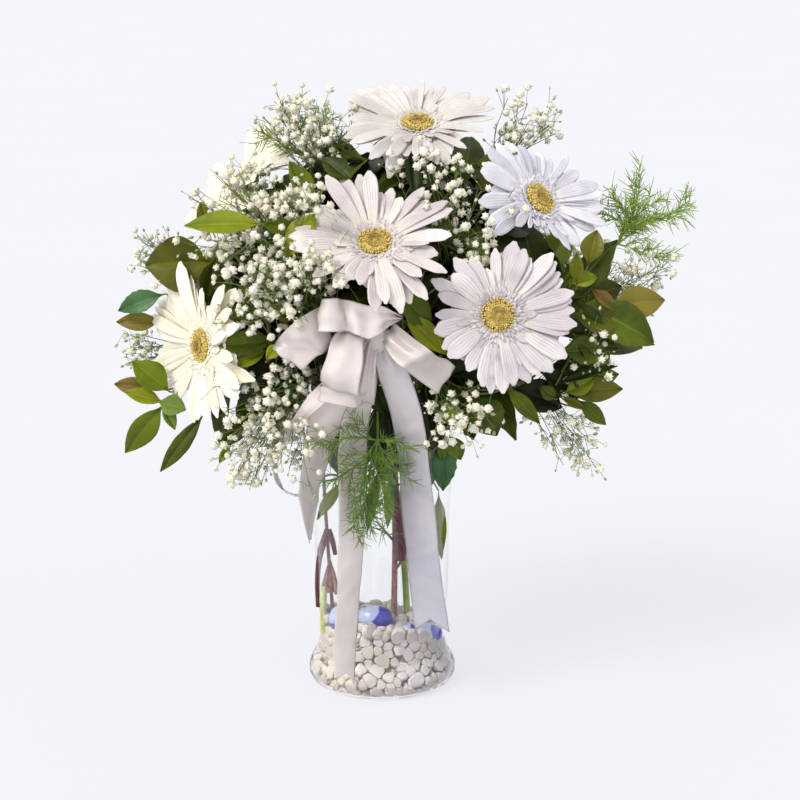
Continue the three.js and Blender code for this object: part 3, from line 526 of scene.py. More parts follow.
def new_finish(name, roughness, **sockets):
    """A material with its Principled shader; plain values go on the shader's own sockets."""
    material = bpy.data.materials.new(name)
    material.use_nodes = True
    tree = material.node_tree
    shader = tree.nodes["Principled BSDF"]
    shader.inputs["Roughness"].default_value = roughness
    for label, value in sockets.items():
        shader.inputs[label.replace("_", " ")].default_value = value
    return material, tree, shader


def add_bump(tree, shader, height, strength, distance):
    """Fine unevenness on the shader's normal; distance is in metres."""
    node = tree.nodes.new("ShaderNodeBump")
    node.inputs["Strength"].default_value = strength
    node.inputs["Distance"].default_value = distance
    tree.links.new(height, node.inputs["Height"])
    tree.links.new(node.outputs["Normal"], shader.inputs["Normal"])


def petal_finish(name, light, shadow, root):
    """Thin petals that let some light through, with fine lines along them; the grooves are darkened with
    painted shade, and each petal's tint draws it towards the painted shadow colour.
    """
    material, tree, shader = new_finish(
        name, 0.55, Subsurface_Weight=0.3, Subsurface_Scale=0.001, Specular_IOR_Level=0.35)
    shader.inputs["Subsurface Radius"].default_value = (1.0, 0.92, 0.86)
    clouded = placed_group(tree, MOTTLE, Light=light, Dark=shadow, Scale=55.0, Clouds=0.35, Tint_Share=0.5)
    ribs = placed_group(tree, RIBS, Ribs=6.0, Depth=1.0)
    at_root = ramped(tree, ribs.outputs["Along"], 0.5, 0.0)
    toned = mixed(tree, reckoned(tree, "MULTIPLY", at_root, 0.75), clouded.outputs["Color"], root)
    # painted shade in the grooves along the petal
    groove = ramped(tree, ribs.outputs["Height"], -0.2, -1.0)
    toned = mixed(tree, reckoned(tree, "MULTIPLY", groove, 0.5), toned, shadow)
    tree.links.new(toned, shader.inputs["Base Color"])
    add_bump(tree, shader, ribs.outputs["Height"], 0.3, 0.0002)
    return material


def leaf_finish(name, light, dark, underside, vein):
    """A waxy leaf with a pale midrib, faint side veins and a paler back."""
    material, tree, shader = new_finish(
        name, 0.45, Coat_Weight=0.06, Coat_Roughness=0.2, Specular_IOR_Level=0.18,
        Subsurface_Weight=0.06, Subsurface_Scale=0.002)
    clouded = placed_group(tree, MOTTLE, Light=light, Dark=dark, Scale=45.0, Clouds=0.45, Tint_Share=0.85)
    veins = placed_group(tree, VEINS, Pairs=7.0, Slant=0.6)
    drawn = reckoned(tree, "MAXIMUM", reckoned(tree, "MULTIPLY", veins.outputs["Midrib"], 0.3),
                     reckoned(tree, "MULTIPLY", veins.outputs["Veins"], 0.06))
    top = mixed(tree, drawn, clouded.outputs["Color"], vein)
    side = tree.nodes.new("ShaderNodeAttribute")
    side.attribute_name = "underside"
    under = mixed(tree, drawn, underside, vein)
    tree.links.new(mixed(tree, side.outputs["Fac"], top, under), shader.inputs["Base Color"])
    height = reckoned(tree, "ADD", reckoned(tree, "MULTIPLY", drawn, -1.0),
                      reckoned(tree, "MULTIPLY", noise_of(tree, 900.0), 0.25))
    add_bump(tree, shader, height, 0.5, 0.0004)
    return material


def growing_finish(name, light, dark, roughness, scale, bump, clouds=0.7):
    """Stems, needles, bark and florets: a clouded colour with a little unevenness."""
    material, tree, shader = new_finish(name, roughness)
    clouded = placed_group(tree, MOTTLE, Light=light, Dark=dark, Scale=scale, Clouds=clouds, Tint_Share=0.6)
    tree.links.new(clouded.outputs["Color"], shader.inputs["Base Color"])
    add_bump(tree, shader, noise_of(tree, scale * 6.0, 4.0), bump, 0.0005)
    return material


def disc_finish():
    """The eye of a gerbera: yellow knobs, darker deep between them."""
    material, tree, shader = new_finish("gerbera_disc_yellow", 0.6)
    clouded = placed_group(tree, MOTTLE, Light=tone(252, 230, 140), Dark=tone(148, 120, 40),
                           Scale=260.0, Clouds=0.25, Tint_Share=0.95)
    tree.links.new(clouded.outputs["Color"], shader.inputs["Base Color"])
    add_bump(tree, shader, noise_of(tree, 2500.0), 0.4, 0.0003)
    return material


def ribbon_finish(name, light, dark, turned):
    """Satin: a soft sheen over a slightly grey white, painted shade where it turns away from the eye,
    with fine threads and a firm edge."""
    material, tree, shader = new_finish(
        name, 0.26, Coat_Weight=0.4, Coat_Roughness=0.17, Specular_IOR_Level=1.0)
    across, along = split_map(tree)
    clouded = placed_group(tree, MOTTLE, Light=light, Dark=dark, Scale=26.0, Clouds=0.35, Tint_Share=0.7)
    edge = reckoned(tree, "ABSOLUTE", reckoned(tree, "SUBTRACT", across, 0.5))
    selvedge = ramped(tree, edge, 0.455, 0.475)
    toned = mixed(tree, reckoned(tree, "MULTIPLY", selvedge, 0.3), clouded.outputs["Color"], turned)
    # painted shade: towards the turned colour where the satin faces away from the eye
    weight = tree.nodes.new("ShaderNodeLayerWeight")
    weight.inputs["Blend"].default_value = 0.4
    toned = mixed(tree, reckoned(tree, "MULTIPLY", weight.outputs["Facing"], 0.55), toned, turned)
    tree.links.new(toned, shader.inputs["Base Color"])
    threads = reckoned(tree, "SINE", reckoned(tree, "MULTIPLY", along, 1400.0))
    crumple = noise_of(tree, 55.0, 1.0)
    height = reckoned(tree, "ADD", reckoned(tree, "MULTIPLY", threads, 0.015), crumple)
    add_bump(tree, shader, height, 0.6, 0.0045)
    return material


def glass_finish():
    """Clear glass that lets lamps through to what stands behind it."""
    material, tree, shader = new_finish("vase_glass", 0.02, Transmission_Weight=1.0, IOR=1.4)
    shader.inputs["Base Color"].default_value = (0.985, 0.995, 0.995, 1.0)
    streaks = noise_of(tree, 14.0, 1.0)
    add_bump(tree, shader, streaks, 0.06, 0.002)
    clear = tree.nodes.new("ShaderNodeBsdfTransparent")
    rays = tree.nodes.new("ShaderNodeLightPath")
    blend = tree.nodes.new("ShaderNodeMixShader")
    tree.links.new(rays.outputs["Is Shadow Ray"], blend.inputs[0])
    tree.links.new(shader.outputs[0], blend.inputs[1])
    tree.links.new(clear.outputs[0], blend.inputs[2])
    tree.links.new(blend.outputs[0], tree.nodes["Material Output"].inputs["Surface"])
    return material


def marble_finish():
    """White marble with sandy clouds and specks."""
    material, tree, shader = new_finish("marble_chip", 0.6, Subsurface_Weight=0.12, Subsurface_Scale=0.002)
    clouded = placed_group(tree, MOTTLE, Light=tone(196, 191, 194), Dark=tone(182, 172, 158),
                           Scale=120.0, Clouds=0.3, Tint_Share=0.8)
    grains = ramped(tree, noise_of(tree, 900.0, 5.0, 0.7), 0.62, 0.75)
    specks = reckoned(tree, "MULTIPLY", grains, 0.22)
    toned = mixed(tree, specks, clouded.outputs["Color"], tone(182, 170, 152))
    tree.links.new(toned, shader.inputs["Base Color"])
    add_bump(tree, shader, noise_of(tree, 500.0, 4.0), 0.4, 0.0006)
    return material


def blue_finish():
    """Ultramarine glass with a paler patch of painted highlight, marked on the piece itself."""
    material, tree, shader = new_finish("blue_glass_stone", 0.2, Coat_Weight=0.3, Coat_Roughness=0.1)
    clouded = placed_group(tree, MOTTLE, Light=tone(44, 54, 172), Dark=tone(22, 24, 124),
                           Scale=60.0, Clouds=0.9, Tint_Share=0.2)
    lit_side_highlight = tree.nodes.new("ShaderNodeAttribute")
    lit_side_highlight.attribute_name = "lit_side_highlight"
    highlight_share = ramped(tree, lit_side_highlight.outputs["Fac"], 0.4, 0.6)
    toned = mixed(tree, highlight_share, clouded.outputs["Color"], tone(158, 168, 202))
    tree.links.new(toned, shader.inputs["Base Color"])
    rough = ramped(tree, noise_of(tree, 220.0), 0.35, 0.75, 0.14, 0.34)
    tree.links.new(rough, shader.inputs["Roughness"])
    return material


def floor_finish():
    """A pale sheet that glows a little, as a lit studio table, so that shadows stay faint."""
    material, tree, shader = new_finish("studio_floor", 0.8, Specular_IOR_Level=0.0)
    clouded = placed_group(tree, MOTTLE, Light=(0.17, 0.17, 0.175, 1.0), Dark=(0.165, 0.165, 0.172, 1.0),
                           Scale=2.0, Clouds=1.0, Tint_Share=0.0)
    tree.links.new(clouded.outputs["Color"], shader.inputs["Base Color"])
    shader.inputs["Emission Color"].default_value = (0.95, 0.96, 1.0, 1.0)
    shader.inputs["Emission Strength"].default_value = 0.745
    return material


set_camera()
set_studio()
MOTTLE = make_mottle_group()
RIBS = make_rib_group()
VEINS = make_vein_group()
# Lit and shaded copies of one white petal: each flower's light and shadow colours paint how the key light
# falls on it.
PETAL_LIGHTINGS = {
    "plain": petal_finish("gerbera_petal", tone(238, 231, 226), tone(168, 160, 170), tone(244, 232, 204)),
    "rose_lit": petal_finish("gerbera_petal_rose_lit", tone(246, 237, 228), tone(176, 166, 174), tone(246, 232, 200)),
    "cool_lit": petal_finish("gerbera_petal_cool_lit", tone(250, 248, 250), tone(180, 177, 192), tone(244, 236, 218)),
    "cream_lit": petal_finish("gerbera_petal_cream_lit", tone(236, 233, 229), tone(180, 170, 164),
                          tone(240, 230, 204)),
    "warm_lit": petal_finish("gerbera_petal_warm_lit", tone(255, 252, 238), tone(234, 221, 192), tone(251, 242, 204)),
}
LEAF = leaf_finish("leaf_green", tone(104, 122, 12), tone(36, 48, 4), tone(126, 140, 56), tone(130, 146, 44))
BRIGHT_LEAF = leaf_finish("leaf_yellow_green", tone(150, 158, 26), tone(98, 112, 10), tone(150, 162, 76),
                          tone(168, 178, 60))
OLIVE_LEAF = leaf_finish("leaf_olive", tone(112, 112, 18), tone(62, 68, 8), tone(136, 136, 78),
                         tone(130, 132, 50))
# Near-black leaves: partly real dark leaves, partly painted shade set in the deep gaps between the flowers.
DARK_LEAF = leaf_finish("leaf_dark", tone(50, 66, 8), tone(14, 22, 3), tone(56, 70, 20), tone(60, 78, 18))
PALE_LEAF = leaf_finish("leaf_grey_green", tone(124, 148, 66), tone(72, 100, 34), tone(144, 162, 106),
                        tone(148, 168, 100))
TEAL_LEAF = leaf_finish("leaf_teal", tone(98, 136, 88), tone(42, 80, 38), tone(110, 136, 90),
                        tone(62, 104, 62))
BROWN_LEAF = leaf_finish("leaf_browned", tone(128, 122, 40), tone(104, 76, 40), tone(150, 146, 90),
                         tone(146, 130, 68))
GREEN_STEM = growing_finish("stem_green", tone(150, 176, 84), tone(104, 132, 52), 0.45, 90.0, 0.2)
RED_STEM = growing_finish("stem_dark_red", tone(112, 44, 56), tone(56, 18, 32), 0.5, 220.0, 1.0)
BROWN_STEM = growing_finish("stem_bark", tone(160, 118, 108), tone(84, 44, 44), 0.7, 320.0, 1.0)
SPLIT_WOOD = growing_finish("wood_split", tone(196, 200, 128), tone(150, 150, 84), 0.6, 200.0, 0.5)
TWIG = growing_finish("twig_thin_green", tone(124, 142, 78), tone(76, 92, 44), 0.55, 120.0, 0.2)
FERN = growing_finish("fern_needle", tone(152, 178, 76), tone(90, 122, 36), 0.5, 70.0, 0.1)
FLORET_WHITE = growing_finish("floret_cream", tone(254, 251, 238), tone(234, 226, 194), 0.75, 900.0, 0.5, 0.3)
BUD_GREEN = growing_finish("bud_green", tone(224, 228, 196), tone(132, 148, 96), 0.6, 700.0, 0.3)
DISC = disc_finish()
SATIN = ribbon_finish("ribbon_satin", tone(251, 240, 235), tone(196, 183, 178), tone(160, 146, 144))
# The satin with painted shade, for the right tail, which the light reaches less.
PAINTED_SHADE_SATIN = ribbon_finish("ribbon_satin_painted_shade", tone(216, 206, 202), tone(158, 161, 181),
                             tone(140, 138, 150))
GLASS = glass_finish()
MARBLE = marble_finish()
BLUE = blue_finish()
FLOOR = floor_finish()


def lay_floor():
    """A round sheet, wide enough to fill the picture up to the horizon."""
    deselect()
    bpy.ops.mesh.primitive_circle_add(vertices=96, radius=FLOOR_RADIUS, fill_type="NGON", location=(0, 0, 0))
    floor = bpy.context.object
    floor.name = "studio_floor"
    floor.data.materials.append(FLOOR)


lay_floor()


# ------------------------------------------------------------------ patterns for what repeats
def flat_sheet(across, along, length):
    """A flat sheet one metre wide from y 0 to its length, left in edit mode."""
    deselect()
    bpy.ops.mesh.primitive_grid_add(x_subdivisions=across, y_subdivisions=along, size=1.0)
    piece = bpy.context.object
    edit()
    bpy.ops.transform.resize(value=(1.0, length, 1.0))
    bpy.ops.transform.translate(value=(0.0, length / 2, 0.0))
    return piece


def sunk_column(place, depth, play=0.02):
    """Moves the columns at that distance from the middle up or down."""
    pick(lambda spot: abs(abs(spot.x) - place) < play)
    bpy.ops.transform.translate(value=(0.0, 0.0, depth))


def thickened(piece, thick, levels):
    """Gives a sheet its thickness and rounds it by some levels of subdivision."""
    bpy.ops.object.mode_set(mode="OBJECT")
    add_modifier(piece, "SOLIDIFY", thickness=thick, offset=0.0)
    if levels:
        add_modifier(piece, "SUBSURF", levels=levels, render_levels=levels)
    shade(piece)


def mark_underside(piece):
    """Marks the points of the lower side, for the paler back of a leaf."""
    mesh = piece.data
    normals = np.zeros(len(mesh.vertices) * 3, np.float32)
    mesh.vertices.foreach_get("normal", normals)
    below = (normals.reshape(-1, 3)[:, 2] < 0).astype(np.float32)
    mesh.attributes.new("underside", "FLOAT", "POINT").data.foreach_set("value", below)


def model_petal(name, across, along, finish, outline, tip, levels):
    """A long petal with two grooves and a blunt, notched end."""
    piece = flat_sheet(across, along, PETAL_LENGTH)
    sunk_column(1 / 6, -0.0004)
    sunk_column(0.5, -0.0007)
    pick(lambda spot: spot.y > PETAL_LENGTH * 0.99 and abs(spot.x) > 0.4)
    bpy.ops.transform.translate(value=(0.0, -tip * PETAL_LENGTH, 0.0))
    pick(lambda spot: spot.y > PETAL_LENGTH * 0.99 and abs(abs(spot.x) - 1 / 6) < 0.02)
    bpy.ops.transform.translate(value=(0.0, -0.028 * PETAL_LENGTH, 0.0))
    shares, widths = zip(*outline)
    for row in range(along + 1):
        level = PETAL_LENGTH * row / along
        near = PETAL_LENGTH / along / 2.2
        pick(lambda spot: level - near * (1.9 if row == along else 1) < spot.y < level + near
             and (row < along or spot.y > PETAL_LENGTH * (1 - 0.7 / along)))
        wide = PETAL_WIDTH * float(np.interp(row / along, shares, widths))
        bpy.ops.transform.resize(value=(wide, 1.0, 1.0), center_override=(0.0, level, 0.0))
    thickened(piece, PETAL_THICK, levels)
    return as_blank(piece, name, finish)


def model_leaf(name, finish, outline, serrated=False, fine=True):
    """An ovate leaf on a short stalk, its midrib sunk and its halves gently waved.
    The many leaves deep in the foliage have fewer faces."""
    along = 14
    piece = flat_sheet(8 if fine else 4, along, LEAF_LENGTH)
    sunk_column(0.0, -0.0009)
    sunk_column(0.25, 0.0005)
    for row in range(2, along - 1, 2):
        pick(lambda spot: abs(spot.y - LEAF_LENGTH * row / along) < 0.0004 and abs(spot.x) > 0.3)
        bpy.ops.transform.translate(value=(0.0, 0.0, 0.0009))
    if serrated:
        for row in range(3, along, 2):
            pick(lambda spot: abs(spot.y - LEAF_LENGTH * row / along) < 0.0004 and abs(spot.x) > 0.45)
            bpy.ops.transform.resize(value=(0.84, 1.0, 1.0), center_override=(0, 0, 0))
            bpy.ops.transform.translate(value=(0.0, -0.0012, 0.0))
    shares, widths = zip(*outline)
    for row in range(along + 1):
        level = LEAF_LENGTH * row / along
        pick(lambda spot: abs(spot.y - level) < 0.0013)
        wide = LEAF_WIDTH * float(np.interp(row / along, shares, widths))
        bpy.ops.transform.resize(value=(wide, 1.0, 1.0), center_override=(0.0, level, 0.0))
    thickened(piece, LEAF_THICK, 1 if fine else 0)
    if not fine:
        shade(piece, 40)
    mark_underside(piece)
    return as_blank(piece, name, finish)


def model_floret(name, segments, rings, ruffle):
    """A ruffled ball of tiny petals."""
    deselect()
    bpy.ops.mesh.primitive_uv_sphere_add(segments=segments, ring_count=rings, radius=FLORET / 2)
    piece = bpy.context.object
    edit()
    for ring in range(1, rings):
        height = FLORET / 2 * math.cos(math.pi * ring / rings)
        for odd in (0, 1):
            pick(lambda spot: abs(spot.z - height) < FLORET * 0.02 and round(
                math.atan2(spot.y, spot.x) / math.tau * segments) % 2 == (ring + odd) % 2)
            size = 1.0 + ruffle * (1 if odd else -1)
            bpy.ops.transform.resize(value=(size, size, 1.0), center_override=(0, 0, height))
            bpy.ops.transform.translate(value=(0, 0, FLORET * ruffle * (0.22 if odd else -0.22)))
    pick(lambda spot: spot.z < -FLORET * 0.2)
    bpy.ops.transform.resize(value=(0.8, 0.8, 0.7), center_override=(0, 0, -FLORET * 0.2))
    bpy.ops.object.mode_set(mode="OBJECT")
    shade(piece, 38)
    return as_blank(piece, name, FLORET_WHITE)


def model_bud():
    """A closed bud, a little longer than wide, with a pointed top."""
    deselect()
    bpy.ops.mesh.primitive_ico_sphere_add(subdivisions=1, radius=0.001)
    piece = bpy.context.object
    edit()
    bpy.ops.mesh.select_all(action="SELECT")
    bpy.ops.transform.resize(value=(0.85, 0.85, 1.3))
    pick(lambda spot: spot.z > 0.0009)
    bpy.ops.transform.translate(value=(0, 0, 0.0003))
    bpy.ops.object.mode_set(mode="OBJECT")
    shade(piece)
    return as_blank(piece, "bud", BUD_GREEN)


def model_stamen():
    """A stamen: a short stalk with a knob."""
    deselect()
    bpy.ops.mesh.primitive_cone_add(vertices=6, radius1=0.0006, radius2=0.0004, depth=0.0026,
                                    location=(0, 0, 0.0013))
    piece = bpy.context.object
    bpy.ops.object.transform_apply(location=True, rotation=True, scale=True)
    edit()
    pick_faces(lambda middle, normal: normal.z > 0.9)
    bpy.ops.mesh.extrude_region_move(TRANSFORM_OT_translate={"value": (0, 0, 0.0004)})
    bpy.ops.transform.resize(value=(1.75, 1.75, 1.0))
    bpy.ops.mesh.extrude_region_move(TRANSFORM_OT_translate={"value": (0, 0, 0.0006)})
    bpy.ops.transform.resize(value=(0.5, 0.5, 1.0))
    bpy.ops.object.mode_set(mode="OBJECT")
    shade(piece, 50)
    return as_blank(piece, "stamen", DISC)


def model_cushion():
    """The low cushion of a gerbera's eye, dented in the middle."""
    deselect()
    bpy.ops.mesh.primitive_uv_sphere_add(segments=32, ring_count=12, radius=1.0)
    cushion = bpy.context.object
    edit()
    bpy.ops.mesh.select_all(action="SELECT")
    bpy.ops.transform.resize(value=(DISC_RADIUS * 0.9, DISC_RADIUS * 0.9, 0.0028))
    pick(lambda spot: math.hypot(spot.x, spot.y) < DISC_RADIUS * 0.3 and spot.z > 0)
    bpy.ops.transform.translate(value=(0, 0, -0.0009))
    bpy.ops.object.mode_set(mode="OBJECT")
    as_blank(cushion, "eye", DISC)
    shade(cushion)
    return cushion


def model_calyx():
    """The cup under a gerbera, drawn up from the end of its stem in four rings."""
    deselect()
    bpy.ops.mesh.primitive_circle_add(vertices=24, radius=0.0028, fill_type="NGON")
    cup = bpy.context.object
    edit()
    bpy.ops.mesh.select_all(action="SELECT")
    for rise, radius in ((0.002, 0.0046), (0.002, 0.0078), (0.0026, 0.0096), (0.0012, 0.0100)):
        bpy.ops.mesh.extrude_region_move(TRANSFORM_OT_translate={"value": (0, 0, rise)})
        form = bmesh.from_edit_mesh(bpy.context.edit_object.data)
        ring = [spot for spot in form.verts if spot.select]
        top = max(spot.co.z for spot in ring)
        now = max(math.hypot(spot.co.x, spot.co.y) for spot in ring)
        bpy.ops.transform.resize(value=(radius / now, radius / now, 1.0), center_override=(0, 0, top))
    bpy.ops.mesh.select_all(action="SELECT")
    bpy.ops.mesh.normals_make_consistent(inside=False)
    bpy.ops.object.mode_set(mode="OBJECT")
    as_blank(cup, "calyx", GREEN_STEM)
    shade(cup, 50)
    return cup


def model_chips(count):
    """Marble chips: a ball squeezed and turned out of round, to be pressed flat in the bed."""
    random.seed(41)
    made = []
    for index in range(count):
        deselect()
        bpy.ops.mesh.primitive_ico_sphere_add(subdivisions=3, radius=1.0)
        piece = bpy.context.object
        edit()
        bpy.ops.mesh.select_all(action="SELECT")
        bpy.ops.transform.resize(value=(1.06, 0.94 + 0.1 * random.random(), 0.82 + 0.16 * random.random()))
        for _ in range(6):
            aim = Vector(scattered(random)).normalized()
            pick(lambda spot: spot.dot(aim) > 0.66)
            bpy.ops.transform.translate(value=-aim * (0.1 + 0.12 * random.random()))
        bpy.ops.object.mode_set(mode="OBJECT")
        shade(piece, 24)
        made.append(as_blank(piece, f"chip_{index}", MARBLE))
    return made


PETAL_OUTLINE = [(0.0, 0.40), (0.15, 0.5), (0.4, 0.82), (0.62, 1.0), (0.78, 0.98), (0.9, 0.78), (1.0, 0.36)]
LEAF_OUTLINE = [(0.0, 0.05), (0.08, 0.06), (0.13, 0.2), (0.25, 0.66), (0.42, 0.98), (0.58, 0.97),
                (0.75, 0.72), (0.88, 0.38), (0.96, 0.13), (1.0, 0.03)]
NARROW_OUTLINE = [(0.0, 0.06), (0.07, 0.07), (0.12, 0.25), (0.28, 0.72), (0.5, 1.0), (0.72, 0.82),
                  (0.88, 0.42), (0.96, 0.16), (1.0, 0.03)]
FRINGE_OUTLINE = [(0.0, 0.6), (0.5, 1.0), (0.85, 0.8), (1.0, 0.2)]
petal_blanks = {
    look: (model_petal(f"petal_{look}", 6, 10, finish, PETAL_OUTLINE, 0.07, 1),
           model_petal(f"petal_short_{look}", 2, 5, finish, FRINGE_OUTLINE, 0.1, 0))
    for look, finish in PETAL_LIGHTINGS.items()
}
LEAF_KINDS = {
    "leaf": model_leaf("leaf", LEAF, LEAF_OUTLINE),
    "narrow": model_leaf("leaf_narrow", LEAF, NARROW_OUTLINE),
    "bright": model_leaf("leaf_bright", BRIGHT_LEAF, LEAF_OUTLINE),
    "bright_narrow": model_leaf("leaf_bright_narrow", BRIGHT_LEAF, NARROW_OUTLINE),
    "olive": model_leaf("leaf_olive", OLIVE_LEAF, LEAF_OUTLINE),
    "dark": model_leaf("leaf_dark", DARK_LEAF, LEAF_OUTLINE),
    "pale": model_leaf("leaf_pale", PALE_LEAF, LEAF_OUTLINE),
    "pale_narrow": model_leaf("leaf_pale_narrow", PALE_LEAF, NARROW_OUTLINE),
    "teal": model_leaf("leaf_serrated", TEAL_LEAF, LEAF_OUTLINE, serrated=True),
    "brown": model_leaf("leaf_browned", BROWN_LEAF, LEAF_OUTLINE),
    "deep_leaf": model_leaf("leaf_deep", LEAF, LEAF_OUTLINE, fine=False),
    "deep_narrow": model_leaf("leaf_deep_narrow", LEAF, NARROW_OUTLINE, fine=False),
    "deep_olive": model_leaf("leaf_deep_olive", OLIVE_LEAF, LEAF_OUTLINE, fine=False),
    "deep_dark": model_leaf("leaf_deep_dark", DARK_LEAF, LEAF_OUTLINE, fine=False),
}
bract_blank = model_leaf("bract", GREEN_STEM, NARROW_OUTLINE, fine=False)
floret_blanks = [model_floret("floret", 10, 6, 0.2), model_floret("floret_open", 8, 5, 0.3)]
bud_blank = model_bud()
stamen_blank = model_stamen()
cushion_blank = model_cushion()
calyx_blank = model_calyx()
chip_blanks = model_chips(6)


# ------------------------------------------------------------------ vase, stones and bed
def reach_inside(height):
    """Inside radius of the glass at a height, in metres."""
    levels = sorted((level, radius) for radius, level in INSIDE[:-1])
    return 0.001 * float(np.interp(height * 1000, [z for z, _ in levels], [r for _, r in levels]))


def make_vase():
    """The glass is drawn up ring by ring, over the rim and down again to its thick floor."""
    outside = smooth_way([(r * 0.001, 0, z * 0.001) for r, z in OUTSIDE[:-1]])(np.linspace(0, 1, 44))
    inside = smooth_way([(r * 0.001, 0, z * 0.001) for r, z in INSIDE])(np.linspace(0, 1, 40))
    rim = [(0.0555, 0, 0.2253), (0.0545, 0, VASE_HEIGHT), (0.0535, 0, 0.2253)]
    rings = [*outside, *rim, *inside]
    deselect()
    bpy.ops.mesh.primitive_circle_add(vertices=VASE_SIDES, radius=rings[0][0], fill_type="NGON")
    vase = bpy.context.object
    edit()
    bpy.ops.mesh.select_all(action="SELECT")
    for before, after in zip(rings, rings[1:]):
        bpy.ops.mesh.extrude_region_move(TRANSFORM_OT_translate={"value": (0, 0, after[2] - before[2])})
        grow = after[0] / before[0]
        bpy.ops.transform.resize(value=(grow, grow, 1.0), center_override=(0, 0, after[2]))
    bpy.ops.mesh.merge(type="CENTER")
    bpy.ops.mesh.select_all(action="SELECT")
    bpy.ops.mesh.normals_make_consistent(inside=False)
    bpy.ops.object.mode_set(mode="OBJECT")
    vase.data.materials.append(GLASS)
    shade(vase, 40)
    one_piece("vase_glass", [vase], "glass", "vase")


# middle and half size of each stone, mm
STONES = {
    "left": ((-29, -21, 53), (8, 7, 9.5)),
    "centre": ((-5, -21, 53), (12.5, 8, 9)),
    "small": ((19, -24, 45), (5.4, 5, 5.6)),
    "right": ((32, -12, 39), (11, 8.4, 6.6)),
    "back": ((-10, 20, 42), (13.5, 9.5, 8)),
}


def make_stones():
    """Blue stones: tumbled pieces with soft flats and a paler patch of painted highlight on the side that
    faces the key light.
    """
    random.seed(7)
    for name, (centre, size) in STONES.items():
        deselect()
        bpy.ops.mesh.primitive_ico_sphere_add(subdivisions=3, radius=1.0)
        stone = bpy.context.object
        edit()
        for _ in range(5):
            normal = Vector((random.gauss(0, 1), random.gauss(0, 1), random.gauss(0, 1.3))).normalized()
            bpy.ops.mesh.select_all(action="SELECT")
            bpy.ops.mesh.bisect(plane_co=normal * (0.84 + 0.06 * random.random()), plane_no=normal,
                                use_fill=True, clear_outer=True)
        bpy.ops.mesh.select_all(action="SELECT")
        bpy.ops.transform.resize(value=[0.00108 * side for side in size], center_override=(0, 0, 0))
        bpy.ops.transform.translate(value=at(*centre))
        bpy.ops.object.mode_set(mode="OBJECT")
        add_modifier(stone, "REMESH", mode="VOXEL", voxel_size=0.0007)
        add_modifier(stone, "SMOOTH", factor=0.8, iterations=12)
        stone.data.materials.append(BLUE)
        spots = (read_points(stone.data) - at(*centre)) / at(*size)
        # painted highlight: the upper left side, facing the key light, is marked paler
        slant = spots @ unit([-0.62, -0.36, 0.66])
        lit_side_highlight = np.clip((slant - 0.52) * 20.0, 0.0, 1.0) * (spots[:, 0] < 0.25)
        stone.data.attributes.new("lit_side_highlight", "FLOAT", "POINT").data.foreach_set("value", lit_side_highlight.astype(np.float32))
        shade(stone)
        one_piece(f"stone_blue_{name}", [stone], "blue_stone", f"blue_stone_{name}")


CHIP_REACH = 0.0145             # chips nearer than this press on each other
CHIP_GAP = 0.0001
BED_FLOOR = 0.0014              # just over the glass floor


def bed_height(x, y):
    """The bed lies higher at the left of the vase than at the right, and falls off at the back."""
    return 0.0492 - 0.16 * x - 1.9 * x * x - 0.16 * max(0.0, y)


def chip_places():
    """Middles and sizes of the chips: against the glass, behind it, and over the top."""
    random.seed(19)
    middles, gaps = [], []
    for turn in range(16000):
        angle = random.uniform(0, math.tau)
        kind = turn % 10
        height = random.uniform(0.003, 0.056)
        against_glass, on_top = kind < 5, kind >= 7
        radius = reach_inside(height) - (0.0032 if against_glass else 0.0098)
        if on_top:
            radius = 0.041 * math.sqrt(random.random())
            height = bed_height(radius * math.cos(angle), radius * math.sin(angle)) - random.uniform(0, 0.005)
        spot = np.array([radius * math.cos(angle), radius * math.sin(angle), height])
        gap = random.choice((0.005, 0.0062, 0.007, 0.0078))
        if height > bed_height(spot[0], spot[1]):
            continue
        if any(np.linalg.norm((spot - at(*centre)) / (at(*sides) + 0.002)) < 1
               for centre, sides in STONES.values()):
            continue
        if middles:
            apart = np.linalg.norm(np.array(middles) - spot, axis=1)
            if np.any(apart < (np.array(gaps) + gap) / 2):
                continue
        middles.append(spot)
        gaps.append(gap)
    return np.array(middles), np.array(gaps)


def make_bed():
    """Marble chips, each pressed flat against its neighbours, the glass and the floor."""
    middles, gaps = chip_places()
    random.seed(23)
    chips = []
    for index, spot in enumerate(middles):
        aim = Vector(scattered(random))
        warmth = 0.45 - spot[0] * 12.0 + random.uniform(-0.25, 0.25)
        chip = set_down(random.choice(chip_blanks), spot, aim, gaps[index] * 0.9, random.uniform(0, 6.28),
                        min(1.0, max(0.0, warmth)))
        points = read_points(chip.data)
        apart = np.linalg.norm(middles - spot, axis=1)
        near = np.where((apart > 0) & (apart < CHIP_REACH))[0]
        for _ in range(2):
            for other in near:
                way = (middles[other] - spot) / apart[other]
                share = gaps[index] / (gaps[index] + gaps[other])
                past = (points - spot) @ way - apart[other] * share + CHIP_GAP
                points -= way * np.maximum(past, 0.0)[:, None]
        points[:, 2] = np.maximum(points[:, 2], BED_FLOOR)
        radii = np.hypot(points[:, 0], points[:, 1])
        limit = np.array([reach_inside(z) for z in points[:, 2]]) - 0.0003
        points[:, :2] *= np.minimum(1.0, limit / np.maximum(radii, 1e-9))[:, None]
        write_points(chip.data, points)
        chips.append(chip)
    one_piece("marble_chips", chips, "pebble", "pebble_bed")
    shade(bpy.data.objects["marble_chips"], 24)


